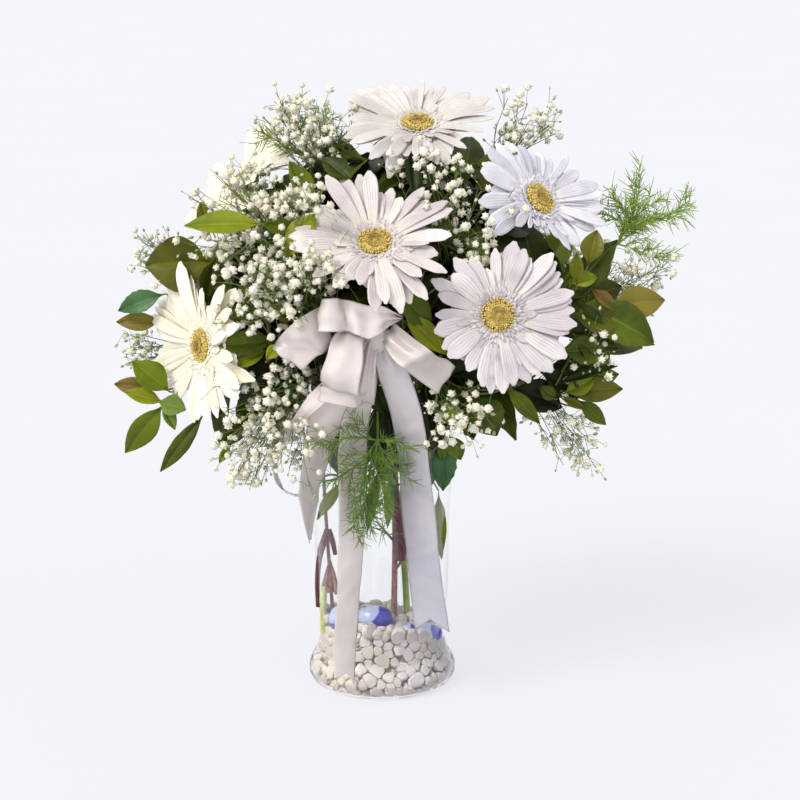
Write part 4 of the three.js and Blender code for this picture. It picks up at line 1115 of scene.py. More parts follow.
# ------------------------------------------------------------------ gerberas
# centre of the disc and the way it faces (mm), petal reach (mm), droop
BLOOMS = {
    "centre": ((-3.5, -98, 335), (0, -0.64, 0.77), 57, 0.16),
    "right": ((77, -103, 288), (0.08, -0.96, 0.26), 56, 0.08),
    "top": ((25, -10, 404), (0, -0.39, 0.92), 55, 0.12),
    "left": ((-120, -67, 261), (-0.84, -0.54, 0.08), 57, 0.12),
    "upper_right": ((106, -48, 357), (0.58, -0.6, 0.55), 54, 0.1),
    "upper_left": ((-100, 32, 360), (-0.62, -0.05, 0.78), 52, 0.04),
    "back": ((56, 104, 322), (0.25, 0.76, 0.6), 53, 0.14),
}
# The painted-light copy of the petal that each flower wears; the others wear the plain one.
BLOOM_LIGHTINGS = {"centre": "rose_lit", "top": "cream_lit", "left": "warm_lit", "upper_left": "warm_lit", "upper_right": "cool_lit"}
PHOTO_PETAL = 14.2              # usual width of a long petal, in pixels of the photograph
ROUND_OF_PETALS = 30
# Short petals of the fringe round the eye: how many, reach (m), level, lift and width.
FRINGE = [(50, 0.0275, 1.5, 0.01, 0.38), (54, 0.0230, 1.7, 0.02, 0.33),
          (52, 0.0190, 1.9, 0.04, 0.29), (46, 0.0155, 2.1, 0.08, 0.25)]
# Rings of stamens: how many, share of the eye's radius, share of the usual height.
STAMEN_RINGS = [(26, 0.66, 0.85), (30, 0.78, 0.95), (34, 0.9, 1.0), (38, 1.03, 0.85)]
# Rows of bracts on the calyx: how many, how far under the petals they start and end (m).
BRACT_ROWS = [(13, 0.0105, 0.0042), (13, 0.0085, 0.003)]
# Petal tips as the photograph shows them: x, y and width of the petal, in its pixels.
TIPS = {
    "centre": [
        (369, 171, 14), (359, 173, 13), (350, 190, 12), (341, 178, 14), (325, 174, 14), (315, 206, 14),
        (303, 214, 12), (294, 229, 12), (287, 238, 13), (288, 248, 14), (331, 226, 12), (298, 264, 13),
        (312, 279, 13), (333, 288, 13), (347, 281, 14), (359, 287, 12), (375, 313, 14), (402, 317, 16),
        (428, 301, 15), (422, 278, 14), (448, 275, 15), (453, 235, 15), (454, 209, 16), (449, 202, 12),
        (429, 199, 14), (425, 187, 13), (392, 187, 13), (402, 198, 13), (381, 192, 11), (386, 306, 12)],
    "right": [
        (515, 240, 17), (525, 248, 15), (531, 257, 13), (554, 252, 15), (557, 261, 14), (561, 272, 14),
        (564, 279, 14), (575, 292, 14), (573, 300, 13), (576, 310, 14), (578, 325, 15), (570, 333, 13),
        (568, 358, 19), (553, 373, 17), (540, 377, 13), (530, 384, 16), (514, 387, 15), (503, 395, 14),
        (497, 391, 13), (490, 395, 13), (482, 388, 15), (467, 372, 15), (447, 358, 17), (441, 349, 14),
        (433, 332, 17), (434, 315, 11), (437, 294, 13), (430, 279, 13), (451, 274, 17), (453, 257, 13),
        (470, 257, 14), (486, 268, 11), (495, 247, 10)],
    "upper_right": [
        (476, 203, 15), (484, 226, 14), (492, 236, 13), (479, 171, 14), (481, 163, 13), (484, 149, 13),
        (494, 143, 13), (505, 141, 13), (517, 145, 13), (527, 149, 14), (538, 151, 14), (550, 159, 10),
        (568, 155, 9), (579, 171, 13), (597, 185, 15), (603, 193, 14), (605, 208, 15), (606, 226, 15),
        (595, 231, 14), (580, 247, 14), (569, 252, 13), (561, 242, 11), (537, 226, 9), (514, 227, 11)],
    "top": [
        (423, 78, 6), (433, 87, 7), (445, 88, 10), (451, 98, 9), (471, 93, 15), (490, 100, 15),
        (496, 109, 14), (495, 118, 15), (484, 134, 12), (467, 150, 9), (449, 165, 14), (438, 167, 10),
        (431, 162, 12), (416, 158, 9), (388, 181, 15), (390, 160, 13), (369, 160, 13), (349, 146, 13),
        (343, 139, 12), (345, 130, 12), (348, 120, 14), (347, 111, 13), (347, 102, 14), (344, 94, 13),
        (356, 90, 12), (366, 88, 14), (375, 87, 13), (389, 86, 13), (405, 85, 10), (416, 90, 9)],
    "left": [
        (182, 260, 15), (192, 274, 11), (202, 287, 9), (165, 275, 15), (162, 290, 14), (159, 300, 14),
        (154, 307, 13), (151, 316, 13), (158, 328, 14), (162, 349, 14), (155, 368, 18), (162, 377, 14),
        (166, 389, 8), (172, 397, 8), (180, 401, 9), (192, 420, 14), (195, 424, 8), (200, 421, 10),
        (208, 423, 10), (219, 419, 13), (230, 416, 8), (239, 400, 14), (241, 389, 14), (259, 381, 14),
        (233, 360, 12), (242, 325, 13), (228, 334, 13), (232, 309, 14), (238, 288, 15), (227, 284, 13)],
    "upper_left": [
        (252, 128, 11), (262, 124, 11), (270, 120, 12), (279, 127, 12), (288, 136, 13), (294, 144, 13),
        (298, 152, 13), (296, 164, 12), (213, 167, 13), (209, 174, 12), (207, 181, 13), (205, 196, 13),
        (210, 211, 13), (219, 214, 12), (233, 212, 12), (248, 212, 12)],
}


def face_axes(face):
    """The way a flower faces, and the two axes of its plane."""
    n = unit(face)
    u = unit(np.cross(UP, n))
    return n, u, np.cross(n, u)


def tip_in_sight(centre, n, reach, x, y):
    """The place of a petal's tip on the line of sight of a pixel: near the plane of the flower
    and no farther from its centre than a petal is long."""
    way = sight(x, y)
    steps = (centre - EYE) @ way + np.linspace(-0.06, 0.06, 241)
    spots = EYE + way * steps[:, None] - centre
    lift = spots @ n
    out = np.linalg.norm(spots - lift[:, None] * n, axis=1)
    spare = np.hypot(lift, out) - reach
    cost = np.where(spare > 0, 3.0 * spare, 0.25 * spare) ** 2 + (lift - 0.06 * out) ** 2
    return centre + spots[int(np.argmin(cost))]


def petal_way(root, tip, n, bow):
    """The line of a petal, bowed to its upper side between root and tip."""
    bend = (root + tip) / 2 + n * np.linalg.norm(tip - root) * bow * 2

    def place(share):
        share = np.atleast_1d(share)[:, None]
        return root * (1 - share) ** 2 + bend * 2 * share * (1 - share) + tip * share**2
    return place


def petal_tips(name, centre, n, u, w, reach, draw):
    """Tips and widths (share of the usual width) of the long petals of a flower: those that the
    photograph shows, and others where it shows none."""
    seen = TIPS.get(name, [])
    tips = [(tip_in_sight(centre, n, reach, x, y), wide / PHOTO_PETAL) for x, y, wide in seen]
    shown = [math.atan2((tip - centre).dot(w), (tip - centre).dot(u)) for tip, _ in tips]
    for k in range(ROUND_OF_PETALS):
        angle = math.tau * (k + draw.uniform(-0.35, 0.35)) / ROUND_OF_PETALS
        close = any(abs(math.remainder(angle - other, math.tau)) < 0.13 for other in shown)
        if len(shown) > 20 or close:
            continue
        out = around(u, w, angle)
        long = reach * draw.uniform(0.84, 1.02)
        sag = BLOOMS[name][3] * (1.1 - 0.9 * out[2]) + draw.uniform(-0.05, 0.05)
        tips.append((centre + out * long + n * long * draw.uniform(-0.02, 0.12) - UP * long * sag,
                     draw.uniform(0.8, 1.12)))
    return tips


def make_gerbera(name):
    """Long petals laid like a fan, shorter ones over and under them, and a fringe at the eye."""
    centre, face, reach, _ = BLOOMS[name]
    centre, reach = at(*centre), reach * 0.001
    n, u, w = face_axes(face)
    draw = random.Random(f"bloom {name}")
    big, small = petal_blanks[BLOOM_LIGHTINGS.get(name, "plain")]
    petals = []
    eye = unit(EYE - centre)
    to_camera = eye * 0.8 * (1 - n.dot(eye)) if name in TIPS else eye * 0
    straight = eye * 0

    def add(tip, wide, level, bow, shape=big, fold=0.1, turned=straight, roll=0.42):
        out = tip - centre
        out = unit(out - n * out.dot(n))
        root = centre - n * HUB_DEPTH * (0.62 - 0.24 * level) + out * PETAL_ROOT
        place = petal_way(root, tip + n * 0.0011 * level, n, bow)
        # each petal's share of the painted shadow colour
        tint = draw.uniform(0.0, 0.85)
        folded = fold * draw.uniform(0.2, 1.8)
        rolled = roll * draw.uniform(-0.3, 1.0)
        petals.append(laid(shape, PETAL_LENGTH, place, n + out * 0.05 + turned, tint, wide, folded, rolled))

    tips = petal_tips(name, centre, n, u, w, reach, draw)
    turns = [math.atan2((tip - centre).dot(w), (tip - centre).dot(u)) for tip, _ in tips]
    order = sorted(range(len(tips)), key=lambda index: turns[index])
    for place_in_ring, index in enumerate(order):
        tip, wide = tips[index]
        hangs = (tip - centre).dot(n) < -0.006
        bow = 0.16 if hangs else draw.uniform(0.02, 0.07)
        add(tip, wide, (place_in_ring * 7) % 3 * 0.7, bow, turned=to_camera)
    for place_in_ring, index in enumerate(order):
        after = order[(place_in_ring + 1) % len(order)]
        first, second = tips[index][0] - centre, tips[after][0] - centre
        middle = unit(unit(first) + unit(second)) * min(np.linalg.norm(first), np.linalg.norm(second))
        wider = 1.3 if np.linalg.norm(first - second) > 0.016 else 1.0
        add(centre + middle * draw.uniform(0.74, 0.9) - n * 0.002, 0.92 * wider, -0.5, 0.04)
    raised = 11
    for k in range(raised):
        out = around(u, w, math.tau * (k + draw.uniform(-0.4, 0.4)) / raised)
        long = reach * draw.uniform(0.46, 0.66)
        add(centre + out * long + n * long * draw.uniform(0.02, 0.09), 0.56, 1.8, 0.03)
    for count, radius, level, lift, wide in FRINGE:
        for k in range(count):
            out = around(u, w, math.tau * (k + draw.uniform(-0.3, 0.3)) / count)
            long = radius * draw.uniform(0.84, 1.12)
            add(centre + out * long + n * long * lift, wide, level, 0.03, small, 0.02, roll=0.1)
    one_piece(f"gerbera_{name}_ray_petals", petals, "petal", f"gerbera_{name}_petals")
    make_disc(name, centre, n, u, w, draw)
    make_bloom_stem(name, centre, n, u, w, draw)


def make_disc(name, centre, n, u, w, draw):
    """The eye: a low cushion, a crowded middle and a crown of stamens."""
    parts = [set_down(cushion_blank, centre + n * 0.001, n, tint=0.36)]
    crowded = 120
    for k in range(crowded):
        radius = DISC_RADIUS * 0.6 * math.sqrt((k + 0.5) / crowded)
        out = around(u, w, GOLDEN_TURN * k)
        middle = radius / (DISC_RADIUS * 0.6)
        spot = centre + out * radius + n * (0.0018 + 0.0014 * middle)
        parts.append(set_down(stamen_blank, spot, n + out * draw.uniform(0.0, 0.4),
                              (0.72, 0.72, 0.3 + 0.34 * middle * draw.uniform(0.6, 1.3)),
                              draw.uniform(0, 6), 1.0 - 0.62 * middle + draw.uniform(-0.2, 0.2)))
    for count, radius, tall in STAMEN_RINGS:
        for k in range(count):
            out = around(u, w, math.tau * (k + draw.uniform(-0.3, 0.3)) / count)
            spot = centre + out * DISC_RADIUS * radius * draw.uniform(0.97, 1.03) + n * 0.0008
            lean = n + out * (1.1 * radius - 0.8 + draw.uniform(-0.15, 0.15))
            parts.append(set_down(stamen_blank, spot, lean, (0.95, 0.95, tall * draw.uniform(0.7, 1.25)),
                                  draw.uniform(0, 6), draw.uniform(0.0, 0.4)))
    one_piece(f"gerbera_{name}_eye", parts, "disc", f"gerbera_{name}_disc")


def make_bloom_stem(name, centre, n, u, w, draw):
    """A green stem from the neck to the flower, its cup of bracts under the petals."""
    node = f"gerbera_{name}_stem"
    under = centre - n * 0.0077
    bend = centre - n * 0.046 - UP * 0.012
    route = smooth_way([*neck_route(node), bend, under])(np.linspace(0, 1, 22))
    parts = [tubes([(route, BLOOM_STEM, BLOOM_STEM * 0.86)], GREEN_STEM, 2)]
    parts.append(set_down(calyx_blank, centre - n * 0.0118, n))
    for row, (count, start, end) in enumerate(BRACT_ROWS):
        for k in range(count):
            out = around(u, w, math.tau * (k + 0.5 * row) / count)
            root = centre - n * start + out * (0.0045 + 0.001 * row)
            tip = centre - n * end + out * (0.0118 + 0.0012 * row)
            place = smooth_way([root, (root + tip) / 2 + out * 0.0012, tip])
            parts.append(laid(bract_blank, LEAF_LENGTH, place, out - n, draw.uniform(0, 0.5), 0.13))
    one_piece(f"gerbera_{name}_stalk", parts, "stem", node)


# ------------------------------------------------------------------ leafy sprigs
# end of the stem (mm) and its leaves: share along the stem, tip (mm), width (mm), kind, tint
SPRIGS = {
    "upper_left": ((-100, -78, 328), []),
    "upper_centre": ((-52, -46, 370), []),
    "left": ((-126, 2, 286), [
        (0.8, (-150, 34, 262), 24, "leaf", 0.7), (0.86, (-140, 14, 322), 22, "olive", 0.6)]),
    "lower_left": ((-134, -16, 226), [
        (0.8, (-108, -60, 186), 20, "leaf", 0.8), (0.75, (-120, 26, 196), 22, "leaf", 0.7)]),
    "mid_left": ((-76, -88, 254), [(0.93, (-96, -62, 220), 22, "dark", 0.4)]),
    "bow_right": ((14, -92, 290), [(0.85, (44, -70, 312), 22, "dark", 0.5)]),
    "right_upper": ((128, -74, 290), [(0.9, (160, -48, 330), 20, "leaf", 0.65)]),
    "right": ((142, -66, 276), [(0.84, (182, -20, 250), 24, "leaf", 0.6)]),
    "lower_right": ((94, -72, 234), [(0.8, (112, -38, 210), 22, "leaf", 0.6)]),
    "hanging": ((48, -66, 208), [(0.9, (28, -74, 186), 15, "leaf", 0.8)]),
    "top": ((58, -26, 372), [
        (1, (92, -42, 388), 20, "leaf", 0.5), (0.98, (52, -62, 380), 20, "leaf", 0.65),
        (0.94, (64, 26, 392), 22, "leaf", 0.5), (0.88, (20, -44, 364), 22, "leaf", 0.8)]),
    "back_left": ((-76, 76, 300), [
        (1, (-118, 104, 292), 24, "leaf", 0.4), (1, (-84, 112, 326), 22, "leaf", 0.5),
        (0.9, (-48, 108, 288), 24, "leaf", 0.6), (0.84, (-104, 92, 250), 24, "leaf", 0.4),
        (0.76, (-70, 92, 228), 24, "leaf", 0.6)]),
    "back": ((-6, 76, 338), [
        (1, (-28, 112, 356), 24, "leaf", 0.4), (1, (18, 92, 386), 22, "leaf", 0.3),
        (0.95, (2, 124, 318), 24, "leaf", 0.5), (0.86, (-34, 96, 290), 24, "leaf", 0.6),
        (0.84, (26, 104, 268), 22, "leaf", 0.5)]),
    "back_right": ((112, 60, 286), [
        (1, (160, 70, 284), 24, "leaf", 0.4), (0.97, (136, 44, 328), 22, "leaf", 0.5),
        (0.9, (130, 96, 254), 24, "leaf", 0.4), (0.82, (90, 100, 238), 24, "leaf", 0.6),
        (0.78, (132, 44, 228), 24, "leaf", 0.5)]),
}
# Leaves placed as the photograph shows them: root and tip in its pixels, depth of both (mm),
# width in its pixels, kind, tint.
SEEN_LEAVES = {
    "upper_left": [
        (214, 262, 145, 265, -46, -46, 50, "olive", 0.45), (264, 224, 184, 226, -98, -98, 25, "bright", 0.55),
        (214, 235, 200, 202, -50, -44, 19, "olive", 0.35), (216, 256, 206, 300, -50, -50, 24, "olive", 0.9),
        (264, 262, 228, 248, -60, -60, 24, "dark", 0.5), (269, 277, 254, 273, -84, -88, 10, "bright", 0.1),
        (300, 232, 262, 224, -78, -82, 16, "leaf", 0.4)],
    "upper_centre": [
        (314, 206, 289, 161, -66, -60, 21, "leaf", 0.15), (318, 211, 286, 258, -84, -92, 27, "bright", 0.35),
        (415, 197, 412, 150, -60, -48, 16, "dark", 0.6), (435, 192, 431, 152, -62, -48, 14, "dark", 0.3),
        (352, 182, 322, 158, -66, -56, 22, "leaf", 0.7)],
    "left": [
        (165, 294, 118, 311, -40, -34, 22, "teal", 0.3), (163, 322, 116, 322, -30, -28, 17, "brown", 0.2)],
    "lower_left": [
        (170, 392, 132, 362, -50, -48, 28, "leaf", 0.1), (156, 390, 114, 384, -42, -38, 17, "brown", 0.5),
        (164, 403, 124, 392, -52, -50, 17, "bright", 0.5), (164, 404, 125, 453, -50, -46, 24, "leaf", 0.05),
        (158, 402, 186, 410, -56, -58, 25, "pale", 0.3), (162, 405, 175, 430, -54, -58, 13, "pale", 0.3),
        (204, 414, 160, 472, -54, -58, 16, "narrow", 0.5), (263, 407, 220, 448, -66, -74, 19, "narrow", 0.6),
        (231, 445, 219, 463, -74, -78, 8, "bright_narrow", 0.3)],
    "mid_left": [
        (276, 341, 219, 346, -84, -92, 22, "leaf", 0.35), (268, 350, 230, 369, -82, -90, 14, "bright", 0.4),
        (265, 312, 227, 305, -84, -90, 22, "leaf", 0.6), (269, 322, 244, 302, -72, -72, 24, "dark", 0.5),
        (299, 322, 268, 306, -96, -98, 14, "olive", 0.4), (281, 344, 266, 359, -94, -98, 12, "bright", 0.1)],
    "bow_right": [
        (401, 294, 431, 326, -97, -99, 25, "leaf", 0.25), (402, 312, 447, 355, -98, -102, 20, "bright", 0.35),
        # dark leaves under the bow: painted shade that closes the gap at the neck
        (375, 382, 387, 414, -72, -68, 24, "dark", 0.4),
        (412, 378, 428, 459, -84, -76, 13, "dark", 0.5), (388, 392, 397, 456, -66, -62, 24, "dark", 0.5),
        (378, 396, 383, 452, -64, -61, 20, "dark", 0.3), (404, 385, 408, 440, -68, -62, 20, "leaf", 0.9)],
    "right_upper": [
        (588, 266, 597, 230, -66, -60, 21, "olive", 0.1), (577, 285, 577, 252, -80, -78, 13, "olive", 0.3),
        (583, 292, 607, 243, -58, -50, 27, "leaf", 0.75), (570, 284, 597, 277, -78, -74, 17, "bright", 0.6),
        (558, 291, 592, 287, -74, -70, 19, "leaf", 0.7)],
    "right": [
        (589, 288, 616, 311, -70, -66, 13, "brown", 0.6), (608, 309, 665, 300, -58, -50, 30, "brown", 0.2),
        (582, 304, 654, 343, -68, -60, 38, "leaf", 0.4),
        (612, 337, 655, 345, -60, -56, 10, "pale_narrow", 0.3),
        (577, 344, 619, 349, -70, -66, 21, "leaf", 0.4), (580, 351, 592, 370, -72, -72, 18, "leaf", 0.65),
        (556, 385, 618, 366, -80, -72, 13, "dark", 0.2), (602, 318, 640, 330, -50, -44, 24, "leaf", 0.5),
        (566, 262, 590, 310, -40, -44, 34, "leaf", 0.7), (578, 300, 622, 286, -40, -36, 30, "olive", 0.7),
        (570, 316, 622, 322, -76, -66, 32, "olive", 0.6), (574, 334, 610, 364, -78, -70, 30, "leaf", 0.5),
        (572, 298, 598, 342, -74, -70, 30, "leaf", 0.8), (560, 352, 606, 352, -82, -74, 26, "leaf", 0.4),
        (572, 364, 592, 392, -76, -72, 20, "dark", 0.1), (562, 372, 600, 376, -74, -70, 22, "leaf", 0.55)],
    "lower_right": [
        (578, 383, 619, 374, -70, -64, 19, "leaf", 0.3), (562, 391, 623, 389, -76, -68, 24, "olive", 0.5),
        (564, 394, 595, 378, -78, -74, 18, "bright", 0.6), (586, 410, 559, 396, -74, -78, 8, "olive", 0.3),
        (577, 399, 606, 425, -72, -68, 15, "leaf", 0.4), (557, 399, 539, 387, -80, -82, 13, "leaf", 0.5),
        (505, 386, 540, 424, -84, -84, 15, "leaf", 0.2), (512, 388, 562, 408, -72, -70, 32, "dark", 0.5),
        (540, 372, 586, 396, -68, -66, 28, "dark", 0.3), (548, 366, 592, 374, -60, -56, 26, "dark", 0.2),
        (473, 394, 497, 436, -82, -86, 34, "leaf", 0.75), (440, 402, 461, 426, -88, -90, 15, "bright", 0.3)],
    "hanging": [
        (442, 436, 443, 491, -66, -64, 26, "teal", 0.75), (441, 436, 442, 460, -70, -70, 11, "leaf", 0.4),
        (449, 434, 461, 460, -70, -68, 17, "leaf", 0.5)],
    "top": [(541, 224, 514, 224, -62, -66, 13, "dark", 0.3), (480, 212, 452, 190, -56, -50, 22, "dark", 0.6)],
}
KNEES = {"upper_centre": (-36, -22, 318), "mid_left": (-54, -48, 262), "back": (0, 40, 270)}
WOODY = {"upper_centre": RED_STEM, "back": BROWN_STEM, "mid_left": BROWN_STEM}
THICK = {"upper_centre": 0.0036, "back": 0.0025, "mid_left": 0.0014}
# Side twigs and split wood seen in the vase: finish, first and last radius (m), points (mm).
PRONGS = {
    "upper_centre": [(RED_STEM, 0.0026, 0.0012, [(11, -7, 150), (5, -10, 140), (-1, -12, 158)]),
                     (RED_STEM, 0.0022, 0.0014, [(12, -9, 112), (16, -11, 106), (18, -11, 98)])],
    "back": [(BROWN_STEM, 0.0011, 0.0006, [(9, 1, 104), (3, -3, 112), (-4, -5, 121)]),
             (BROWN_STEM, 0.0013, 0.0006, [(9, 2, 82), (13, 0, 88), (15, -2, 97)])],
    "mid_left": [
        (RED_STEM, 0.0018, 0.0026, [(-46, -9, 58), (-46, -11, 80), (-44, -13, 98), (-38, -14, 117)]),
        (RED_STEM, 0.0024, 0.0015, [(-38, -14, 117), (-35, -15, 109), (-33, -15, 99)]),
        (BROWN_STEM, 0.0007, 0.0026, [(-37, -12, 95), (-39, -13, 84), (-41, -13, 72)]),
        (BROWN_STEM, 0.0007, 0.0030, [(-37, -12, 93), (-37, -12, 82), (-37, -11, 70)]),
        (BROWN_STEM, 0.0007, 0.0021, [(-37, -12, 94), (-34, -13, 82), (-32, -13, 69)]),
        (SPLIT_WOOD, 0.0026, 0.0028, [(-41, -13, 75), (-42, -13, 58), (-42, -12, 40)])],
}
HEART = at(-2, 4, 286)          # the middle of the foliage
FOLIAGE_HALF = np.array([0.124, 0.09, 0.094])
# Shells of leaves that fill the foliage: how many, share of its size, usual tint; the inner shells darker, as
# painted shade deep in the foliage.
SHELLS = [(210, 1.0, 0.7), (170, 0.8, 0.9), (120, 0.58, 0.98)]
COLLAR_LEAVES = 64              # leaves that hang over the rim
DEEP_TWIG = (0.0008, 0.0005)    # first and last radius of the twigs that leaves grow on
SEEN_TWIG = (0.0009, 0.0006)


def sprig_route(name):
    """The stem of a sprig: from its foot to the rim, over a knee and on to its end."""
    end = at(*SPRIGS[name][0])
    knee = end * 0.66
    knee[2] = max(OVER_RIM, VASE_HEIGHT + (end[2] - VASE_HEIGHT) * 0.55)
    if name in KNEES:
        knee = at(*KNEES[name])
    return smooth_way([*neck_route(f"leafy_sprig_{name}"), knee, end])


def leaf_on(root, tip, width, kind, tint, draw, towards=None):
    """A leaf from its root to its tip, arched, facing out of the bouquet or towards a place."""
    along = tip - root
    long = np.linalg.norm(along)
    lean = np.array([draw.uniform(-0.35, 0.35), -0.2, 0.45 + draw.uniform(-0.3, 0.3)])
    facing = unit((root + tip) / 2 - at(0, 0, 250)) + lean
    if towards is not None:
        facing = unit(towards - root) + np.array([draw.uniform(-0.2, 0.2), 0.0, draw.uniform(0.1, 0.5)])
    facing = unit(facing - along * facing.dot(along) / long**2)
    arch = draw.uniform(0.03, 0.1)

    def place(share):
        share = np.atleast_1d(share)[:, None]
        return root + along * share + facing * long * arch * 4 * share * (1 - share)
    wide = 1.12 * width * 0.001 / LEAF_WIDTH
    return laid(LEAF_KINDS[kind], LEAF_LENGTH, place, facing, tint, wide,
                draw.uniform(0.05, 0.3), draw.uniform(-0.35, 0.35))


def crowds_bloom(spots):
    """True if any of the places lies among the petals of a flower."""
    for centre, face, reach, _ in BLOOMS.values():
        n = unit(face)
        off = spots - at(*centre)
        high = off @ n
        out = np.linalg.norm(off - high[:, None] * n, axis=1)
        if np.any((out < reach * 0.001 + 0.002) & (high > -0.004 - 0.25 * out) & (high < 0.05)):
            return True
    return False


def in_the_bow(spots):
    """True if any of the places lies where the bow is."""
    return bool(np.any((spots[:, 1] < -0.074) & (np.abs(spots[:, 0]) < 0.07)
                       & (spots[:, 2] > 0.215) & (spots[:, 2] < 0.305)))


def shell_leaves():
    """Leaves that close the mass of foliage: each with its place, tip and the sprig it grows on."""
    draw = random.Random("foliage")
    ends = {name: at(*end) for name, (end, _) in SPRIGS.items()}
    found = {name: [] for name in SPRIGS}

    def keep(root, tip, width, tint):
        line = root + (tip - root) * np.linspace(0, 1, 7)[:, None]
        if crowds_bloom(line) or in_the_bow(line):
            return
        if np.any((np.hypot(line[:, 0], line[:, 1]) < 0.0585) & (line[:, 2] < 0.231)):
            return
        owner = min(ends, key=lambda name: np.linalg.norm(ends[name] - root))
        found[owner].append((root, tip, width, tint))

    for shell, (count, size, dark) in enumerate(SHELLS):
        for k in range(count):
            height = 1 - 1.55 * (k + 0.5) / count
            ring = math.sqrt(max(0.0, 1 - height * height))
            angle = GOLDEN_TURN * k + shell
            out = np.array([ring * math.cos(angle), ring * math.sin(angle), height])
            spot = HEART + out * FOLIAGE_HALF * size * draw.uniform(0.88, 1.0)
            level = unit(np.cross(out, scattered(draw)))
            lean = unit(level + out * draw.uniform(-0.1, 0.45) - UP * 0.25)
            long = draw.uniform(0.042, 0.058)
            root, tip = spot - lean * long * 0.5, spot + lean * long * 0.5
            if min(root[2], tip[2]) > 0.205:
                keep(root, tip, draw.uniform(21, 28), dark + draw.uniform(-0.3, 0.1))
    for k in range(COLLAR_LEAVES):
        angle = GOLDEN_TURN * k
        out = np.array([math.cos(angle), math.sin(angle), 0.0])
        root = out * draw.uniform(0.060, 0.078) + UP * draw.uniform(0.233, 0.252)
        tip = out * draw.uniform(0.076, 0.108) + UP * draw.uniform(0.188, 0.216)
        keep(root, tip, draw.uniform(20, 27), draw.uniform(0.45, 0.95))
    return found


# Leaves low on the stems, inside the vase: root and tip (mm), width (mm), kind, tint.
NECK_LEAVES = {
    "upper_centre": [
        ((0, -22, 168), (-10, -24, 118), 8, "pale", 0.5), ((8, -20, 165), (4, -20, 120), 8, "pale", 0.8),
        ((2, -30, 213), (2, -32, 164), 17, "dark", 0.1), ((12, -24, 206), (16, -26, 158), 16, "dark", 0.5)],
    "back": [
        ((4, 10, 200), (2, 12, 150), 22, "dark", 0.5), ((24, 0, 205), (26, -4, 160), 20, "dark", 0.4),
        ((-12, 0, 205), (-16, -6, 164), 20, "leaf", 0.9)],
    "mid_left": [
        ((-25, -22, 157), (-46, -18, 125), 8, "bright", 0.4),
        ((-34, -20, 206), (-30, -24, 160), 18, "dark", 0.5)],
    "hanging": [
        ((40, -14, 146), (42, -18, 96), 10, "bright", 0.6),
        ((32, -24, 200), (34, -28, 152), 18, "dark", 0.4)],
    "bow_right": [
        ((-2, -34, 204), (4, -36, 158), 18, "leaf", 0.9),
        ((-14, -30, 206), (-14, -32, 164), 18, "leaf", 0.9)],
}


def twig_to(line, root):
    """A thin twig from the nearest place of a stem to the root of a leaf."""
    nearest = line[int(np.argmin(np.linalg.norm(line - root, axis=1)))]
    way = smooth_way([nearest, (nearest + root) / 2 + UP * 0.002, root])
    return (way(np.linspace(0, 1, 6)), 0.0008, 0.0006)


def make_sprig(name, extra):
    """A stem or branch with its leaves: those that the solids have, those that the photograph
    shows, and the deeper ones that fill the foliage."""
    leaves = SPRIGS[name][1]
    draw = random.Random(f"sprig {name}")
    route = sprig_route(name)
    line = route(np.linspace(0, 1, 40))
    first = THICK.get(name, SPRIG_STEM)
    if name == "upper_centre":
        low_part = np.clip((0.215 - line[:, 2]) / 0.04, 0, 1)[:, None]
        line = np.vstack([at(14, -8, 92), line + low_part * at(-5, -12, 0)])
    stems = [(line, first, SPRIG_STEM * 0.75)]
    others = []
    for finish, thick, thin, points in PRONGS.get(name, []):
        way = smooth_way([at(*point) for point in points])(np.linspace(0, 1, 12))
        others.append(tubes([(way, thick, thin)], finish, 1))
    grown = []
    for share, tip, width, kind, tint in leaves:
        root = route(share)[0]
        grown.append(leaf_on(root, at(*tip), width, kind, tint, draw))
    for root, tip, width, kind, tint in NECK_LEAVES.get(name, []):
        stems.append(twig_to(line, at(*root)))
        grown.append(leaf_on(at(*root), at(*tip), width, kind, tint, draw, EYE))
    for row in SEEN_LEAVES.get(name, []):
        root, tip = seen_at(*row[0:2], row[4]), seen_at(*row[2:4], row[5])
        start = route(0.86)[0] if np.linalg.norm(route(1.0)[0] - root) > 0.05 else route(0.97)[0]
        middle = (start + root) / 2 + np.array([0.0, 0.008, -0.004])
        stems.append((smooth_way([start, middle, root])(np.linspace(0, 1, 8)), *SEEN_TWIG))
        grown.append(leaf_on(root, tip, row[6] * PIXEL, row[7], row[8], draw, EYE))
    for root, tip, width, tint in extra:
        share = draw.uniform(0.62, 0.96)
        start = route(share)[0]
        middle = (start + root) / 2 + unit(root - HEART) * 0.006
        stems.append((smooth_way([start, middle, root])(np.linspace(0, 1, 6)), *DEEP_TWIG))
        # Deep leaves in front are more often near-black, painted shade in the gaps between the flowers.
        if root[1] < -0.01:
            kind = draw.choice(("dark", "dark", "narrow", "leaf"))
        else:
            kind = draw.choice(("leaf", "olive", "narrow", "leaf"))
        grown.append(leaf_on(root, tip, width, "deep_" + kind, tint, draw))
    node = f"leafy_sprig_{name}"
    one_piece(f"sprig_{name}_leaves", grown, "leaf", node)
    wood = WOODY.get(name, TWIG)
    one_piece(f"sprig_{name}_stem", [tubes(stems, wood, 1), *others], "stem", node)


